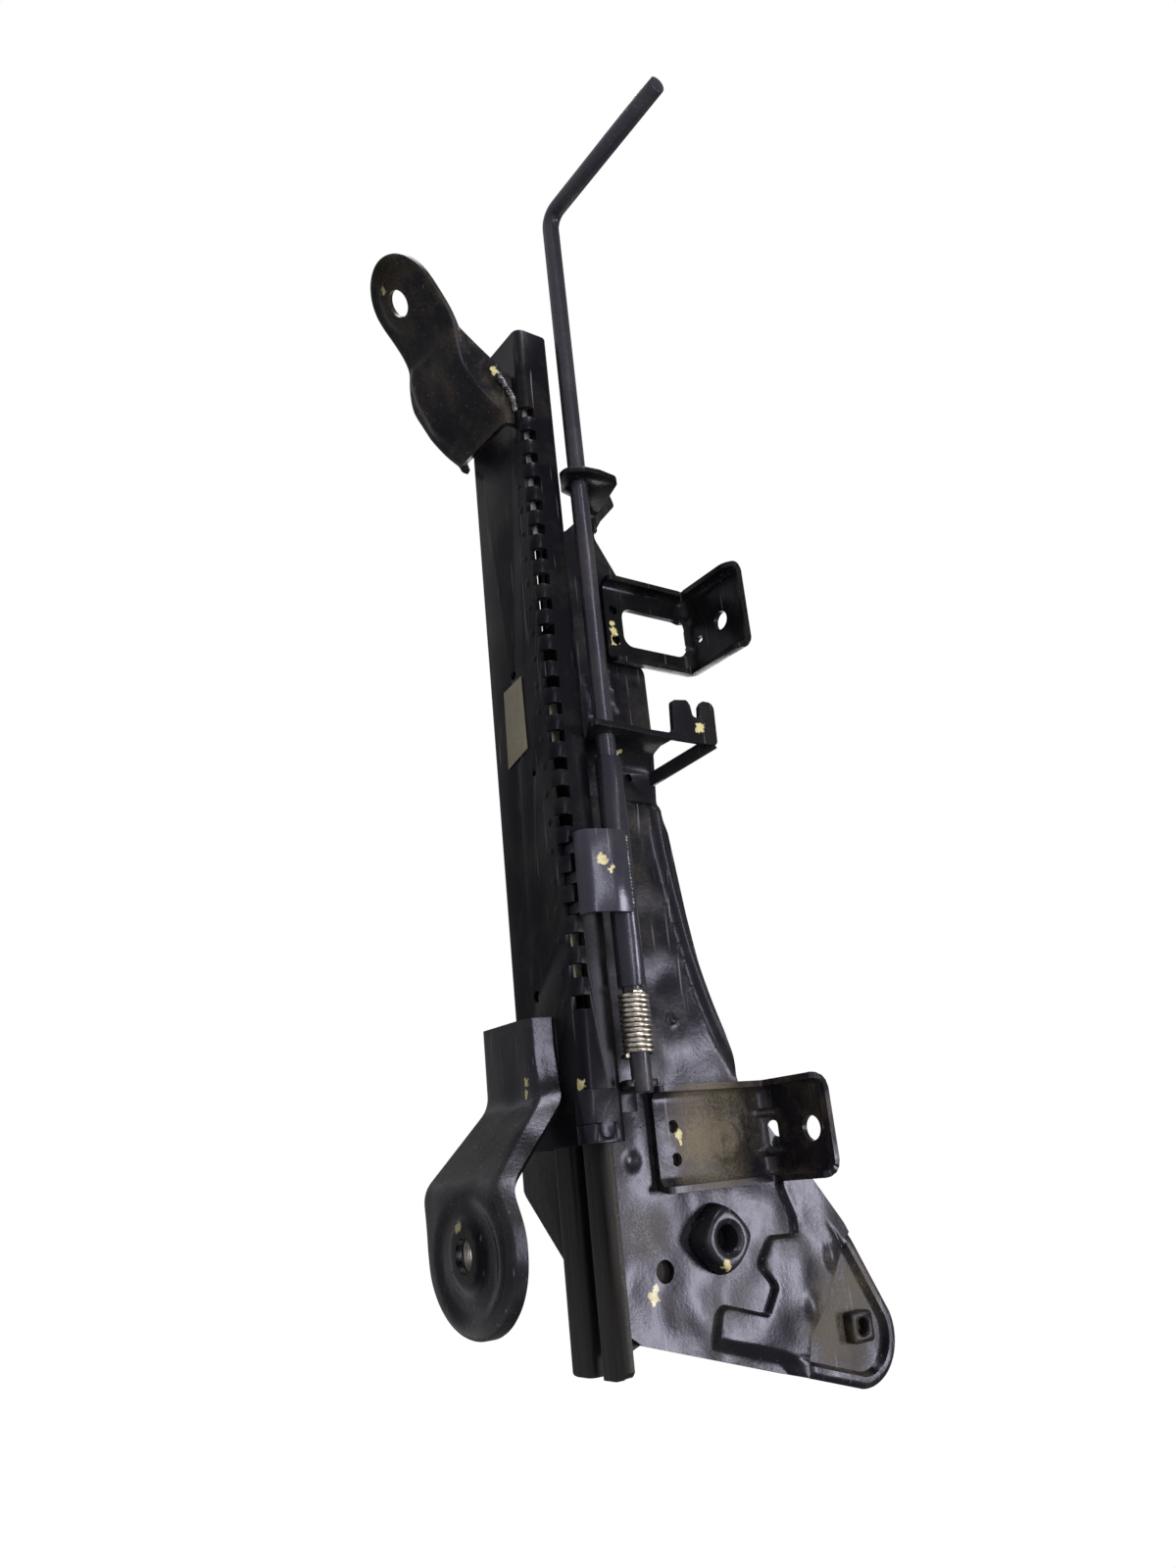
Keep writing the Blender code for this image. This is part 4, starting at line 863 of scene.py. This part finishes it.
def rear_seat_press(flat):
    """The round emboss in the leg, and two ribs that stiffen the bend."""
    lift = turned_end(flat, 90.7)
    ring = np.hypot(flat[:, 0] + 3.1, flat[:, 1] - 34.9)
    lift = lift + 1.1 * (1 - ramp(ring, 6.4, 8.4)) - 1.3 * (1 - ramp(ring, 0.8, 3.2))
    for u in (-8.0, 7.0):
        rib = np.hypot((flat[:, 0] - u) / 2.2, (flat[:, 1] - 58.0) / 7.5)
        lift = lift + 2.6 * (1 - ramp(rib, 0.3, 1.0))
    return lift


def oblong(u, v, half_u, half_v, corner):
    return fillet([(u - half_u, v - half_v), (u + half_u, v - half_v), (u + half_u, v + half_v),
        (u - half_u, v + half_v)], corner, steps=6)


front_bracket = tray("front_seat_bracket_dressed", -73.5, -111.5, 44.0, 92.0, 51.0, 5.4, 5.75,
    [oblong(-1.0, 27.5, 9.5, 18.0, 5.0), circle(6.5, 4.7, 2.3, 20), circle(-8.5, 4.7, 2.3, 20),
    circle(-1.0, 69.1, 4.4), oblong(-3.5, 53.1, 1.5, 2.4, 1.4)], front_seat_press)
fitted(walled(front_bracket, SHEET, even=False), "front_seat_bracket", "upper",
    dip_paint("front_bracket_black_dip_paint", coat="#111114", dusty=0.25, rough=0.26, shine=0.17,
    daubs=((-101.5, 10.4, 48.0, 2.6), (-97.0, 10.4, 48.0, 2.4), (-93.0, 10.4, 47.5, 1.6))), 0.5)
rear_bracket = tray("rear_seat_bracket_dressed", -300.5, -336.0, 40.5, 100.0, 47.6, 4.6, 5.75,
    [circle(4.5, 9.0, 2.6, 20), circle(-8.0, 9.0, 2.6, 20), circle(-1.0, 82.1, 5.0), oblong(-1.5, 60.6, 5.4,
    2.3, 2.1)], rear_seat_press)
fitted(walled(rear_bracket, SHEET, even=False), "rear_seat_bracket", "upper",
    dip_paint("rear_bracket_dusty_dip_paint", coat="#1b191d", dirt="#6a6151", dusty=0.5, rough=0.26,
    soiled=((-309.0, 10.4, 67.0, 21.0, 0.7), (-328.0, 10.4, 68.0, 20.0, 0.6)), shine=0.25,
    daubs=((-316.5, 10.4, 51.5, 2.4), (-319.0, 10.4, 52.0, 1.6))), 0.5)

# Rod tabs and middle bracket
# Three folded steel strips that stand square to the release bar and guide it.
# They are welded to the plate before the black dip.
for node, coat in (("front_rod_tab", "#0d0d0f"), ("rear_rod_tab", "#131315")):
    softened(node, "upper", dip_paint(node + "_black_dip_paint", coat=coat, dusty=0.2, rough=0.3, shine=0.15,
        daubs=((-297.0, 31.0, 20.5, 2.6),) if node[0] == "r" else ()), 0.45)
softened("middle_bracket", "upper", dip_paint("middle_bracket_black_dip_paint", coat="#141418", dusty=0.2,
    rough=0.3, shine=0.16, daubs=((-150.8, 36.6, 68.5, 2.6), (-152.5, 36.6, 67.0, 1.8),
    (-159.0, 16.5, 38.5, 2.2))), 0.45)

# Inner bracket
# The pressing behind the slider, of which the photograph shows only the edge.
# Taken to be sheet steel as well, with the grease that its neighbours have,
# painted darker than the slider's as painted shade behind the slider.
# Painted shade: the slider's grease in darker colours, for this piece's place behind the slider.
softened("inner_bracket", "upper", greasy("inner_bracket_greased_steel", coat="#0d0b09", rubbed="#191715"),
    0.4)

# Recliner boss and lobe nut
# A forged boss with a diamond foot and a tapped hole, and a square weld nut on the lobe.
# Both are steel, and welded to the plate before the dip.
BOSS = (-357.0, 66.0)
data = bmesh.new()
boss_rings = []
# Height, size and roundness up the block: a diamond foot, draft-angled sides, a shoulder, a flat face
# and the ridges of the thread down the hole.
for y, size, blend in ((7.9, 13.4, 0.0), (9.6, 13.3, 0.02), (11.4, 13.1, 0.03), (13.2, 12.7, 0.05),
        (14.8, 12.2, 0.08), (15.9, 11.7, 0.12), (16.4, 11.2, 0.15), (16.7, 10.4, 0.2), (16.7, 7.4, 0.9),
        (16.5, 6.7, 1.0), (15.9, 5.9, 1.0)) + tuple((15.6 - 0.35 * k, 5.1 if k % 4 < 2 else 5.5,
        1.0) for k in range(22)):
    ring = []
    for k in range(64):
        a = 2 * math.pi * k / 64
        diamond = 1.0 / (abs(math.cos(a)) ** 1.35 + abs(math.sin(a)) ** 1.35) ** (1 / 1.35)
        reach = size * (diamond * (1 - blend) + blend)
        ring.append(data.verts.new(rail(BOSS[0] + reach * math.cos(a), y, BOSS[1] + reach * math.sin(a))))
    boss_rings.append(ring)
for one, two in zip(boss_rings, boss_rings[1:] + boss_rings[:1]):
    for k in range(64):
        data.faces.new((one[k], one[(k + 1) % 64], two[(k + 1) % 64], two[k]))
bmesh.ops.recalc_face_normals(data, faces=data.faces)
fitted(meshed("recliner_boss_dressed", data), "recliner_boss", "upper",
    dip_paint("recliner_boss_black_dip_paint", coat="#1b1b20", dusty=0.25, rough=0.25, shine=0.22,
    daubs=((-366.5, 16.0, 63.5, 2.3), (-367.5, 14.5, 65.5, 1.6))), 0.0)
softened("lobe_nut", "upper", dip_paint("lobe_nut_black_dip_paint", coat="#1a1818", dirt="#6b6048", dusty=0.6,
    rough=0.34, shine=0.16), 0.7)

# Release bar
# An 8 mm steel bar bent once to a hand grip, rubbed and scratched along its length, that turns in the tabs.
# Its coat is painted a lighter grey than the black dip elsewhere, as painted sheen.
# The tube is pressed on it, and the lock plate is welded to the tube.
# Painted sheen: the bar's black dip is lightened to grey, standing in for the broad highlight along it.
bar_paint_painted_sheen = dip_paint("release_bar_dip_paint_painted_sheen", coat="#29292f", dirt="#5b5148", dusty=0.35, rough=0.26,
    waves=0.15, shine=0.4)
softened("release_rod", "release", bar_paint_painted_sheen, 0.6)
softened("lock_tube", "release", dip_paint("lock_tube_black_dip_paint", coat="#24242b", dusty=0.2, rough=0.26,
    shine=0.4), 0.4)


LEAF_TOP = 24.0
LEAF_CUT = 3.4


def leaf_end(corner):
    """The leaf stops level with the bar's middle, where it is welded to the tube."""
    if corner.z > rail(0.0, 0.0, LEAF_TOP).z:
        corner.z -= LEAF_CUT * MM


softened("lock_plate", "release", dip_paint("lock_plate_black_dip_paint", coat="#2c2c34", dusty=0.25,
    rough=0.27, shine=0.45, daubs=((-213.5, 34.6, 10.5, 2.6), (-217.0, 36.0, 13.5, 1.5))), 0.4, leaf_end)
weld_bead("lock_plate_weld", [(-203.5, 34.4, 22.6), (-214.0, 34.6, 22.4), (-224.0, 34.4, 22.7),
    (-231.5, 34.4, 22.5)], 2.6, "release", bare_weld, 1.4)

# Torsion spring
# Twelve close coils of 1.7 mm bare spring wire round the bar, the brightest metal on the part.
# Cold wound, with a short leg at each end.


def spring_steel(name):
    """Patented spring wire, drawn and oiled: pale bare steel with patches of brown oil."""
    made, tree, shader, place = started(name)
    oil = add(tree, "TexNoise", {"Vector": place, "Scale": 500.0, "Detail": 4.0})
    share = add(tree, "MapRange", {"Value": oil, "From Min": 0.42, "From Max": 0.7})
    colour = add(tree, "Mix", {"Factor": share, 6: linear("#d2cdc6"), 7: linear("#7d6a55")}, data_type="RGBA")
    rough = add(tree, "MapRange", {"Value": oil, "To Min": 0.22, "To Max": 0.5})
    fill(tree, shader, {"Base Color": colour.outputs[2], "Roughness": rough, "Metallic": 1.0})
    return made


wire = spring_steel("spring_bare_wire")
spring = linked("torsion_spring_dressed", bpy.data.meshes.new("torsion_spring_dressed"))
tree, given, values = ruled("spring", "Start", {"Turns": 12.5, "Coil Radius": 5.3 * MM,
    "Wire Radius": 0.85 * MM, "Length": 23.4 * MM, "Leg": 4.2 * MM, "Place": rail(-264.2, 28.0, 23.2)})
coil = add(tree, "GeometryNodeCurveSpiral", {"Resolution": 26, "Rotations": given["Turns"],
    "Start Radius": given["Coil Radius"], "End Radius": given["Coil Radius"], "Height": given["Length"]})
# The spiral climbs along Z from its own start; it is laid back along the bar.
laid = add(tree, "GeometryNodeTransform", {"Geometry": coil, "Translation": given["Place"],
    "Rotation": (0.0, -math.pi / 2, 0.0)})
ring = add(tree, "GeometryNodeCurvePrimitiveCircle", {"Resolution": 12, "Radius": given["Wire Radius"]})
tube = add(tree, "GeometryNodeCurveToMesh", {"Curve": laid, "Profile Curve": ring, "Fill Caps": True})
legs = add(tree, "GeometryNodeJoinGeometry", {})
for share in (0.0, 1.0):
    back = add(tree, "Math", {0: given["Length"], 1: -share}, operation="MULTIPLY")
    side = add(tree, "Math", {0: given["Coil Radius"], 1: 1.0 - 2.0 * share}, operation="MULTIPLY")
    down = add(tree, "Math", {0: given["Leg"], 1: -1.0}, operation="MULTIPLY")
    start = add(tree, "CombineXYZ", {"X": back, "Y": side})
    high = add(tree, "VectorMath", {0: given["Place"], 1: start}, operation="ADD")
    drop = add(tree, "CombineXYZ", {"Z": down})
    low = add(tree, "VectorMath", {0: high, 1: drop}, operation="ADD")
    leg = add(tree, "GeometryNodeCurvePrimitiveLine", {"Start": high, "End": low})
    pin = add(tree, "GeometryNodeCurveToMesh", {"Curve": leg, "Profile Curve": ring, "Fill Caps": True})
    fill(tree, legs, {0: pin})
fill(tree, legs, {0: tube})
grown(spring, tree, legs, wire, values)
fitted(spring, "torsion_spring", "release", wire, 0.0)

# Photograph's view, floor and light
# The part is seen from below and from the side of the release bar, as if it lay on its other side.
# Round it are a white room, a pale card for a floor and four soft lamps.
rows = np.array([[-0.0954, 0.5613, 0.8221], [-0.9442, -0.3125, 0.1038], [0.3151, -0.7664, 0.5598]])
left_part, _, right_part = np.linalg.svd(rows)
right, down, forward = (Vector(r) for r in left_part @ right_part)
eye = Vector((0.0231, 0.3840, -0.2076))
lens = bpy.data.cameras.new("photograph_view")
lens.lens = 26.77
lens.sensor_width = 36.0
lens.clip_start = 0.01
camera = linked("photograph_view", lens)
turned = Matrix((right, -down, -forward)).transposed().to_4x4()
camera.matrix_world = Matrix.Translation(eye) @ turned
bpy.context.scene.camera = camera
bpy.context.scene.view_settings.view_transform = "Standard"

lowest = cad_box[0][2] - 0.001
floor_mesh = bpy.data.meshes.new("studio_floor")
floor_mesh.from_pydata([(-2.2, -2.5, lowest), (0.72, -2.5, lowest), (0.72, 0.72, lowest),
    (-2.2, 0.72, lowest)], [], [(0, 1, 2, 3)])
floor = linked("studio_floor", floor_mesh)
card = bpy.data.materials.new("pale_card")
card.use_nodes = True
tree = card.node_tree
matt = fill(tree, tree.nodes["Principled BSDF"], {"Base Color": linear("#e8e8ea"), "Roughness": 0.9})
clear = add(tree, "BsdfTransparent", {})
behind = add(tree, "NewGeometry", {})
# The photograph looks up from below the floor, so the card is seen only from its upper side.
chosen = add(tree, "MixShader", {0: behind.outputs["Backfacing"], 1: matt, 2: clear})
fill(tree, tree.nodes["Material Output"], {"Surface": chosen})
floor_mesh.materials.append(card)

world = bpy.data.worlds.new("white_studio")
bpy.context.scene.world = world
world.use_nodes = True
tree = world.node_tree
seen = add(tree, "LightPath", {})
strength = add(tree, "MapRange", {"Value": seen.outputs["Is Camera Ray"], "To Min": 0.16, "To Max": 1.0})
fill(tree, tree.nodes["Background"], {"Color": (1.0, 1.0, 1.0, 1.0), "Strength": strength})


def lamp(name, place, target, wide, tall, power):
    """A soft lamp aimed at a spot."""
    light = bpy.data.lights.new(name, "AREA")
    light.shape = "RECTANGLE"
    light.size = wide
    light.size_y = tall
    light.energy = power
    away = (Vector(place) - Vector(target)).to_track_quat("Z", "Y").to_matrix().to_4x4()
    linked(name, light).matrix_world = Matrix.Translation(place) @ away


lamp("ceiling", (-0.1, 0.88, 0.82), (0.05, 0.0, 0.05), 0.4, 0.2, 7.5)
lamp("window", (0.2, 1.1, 0.07), (0.12, 0.0, 0.03), 1.0, 0.13, 6.5)
lamp("far_window", (1.08, 0.2, 0.08), (0.05, 0.02, 0.03), 0.7, 0.18, 7.0)
lamp("room", (0.2, -1.0, 0.9), (0.15, 0.0, 0.05), 0.9, 0.6, 5.0)
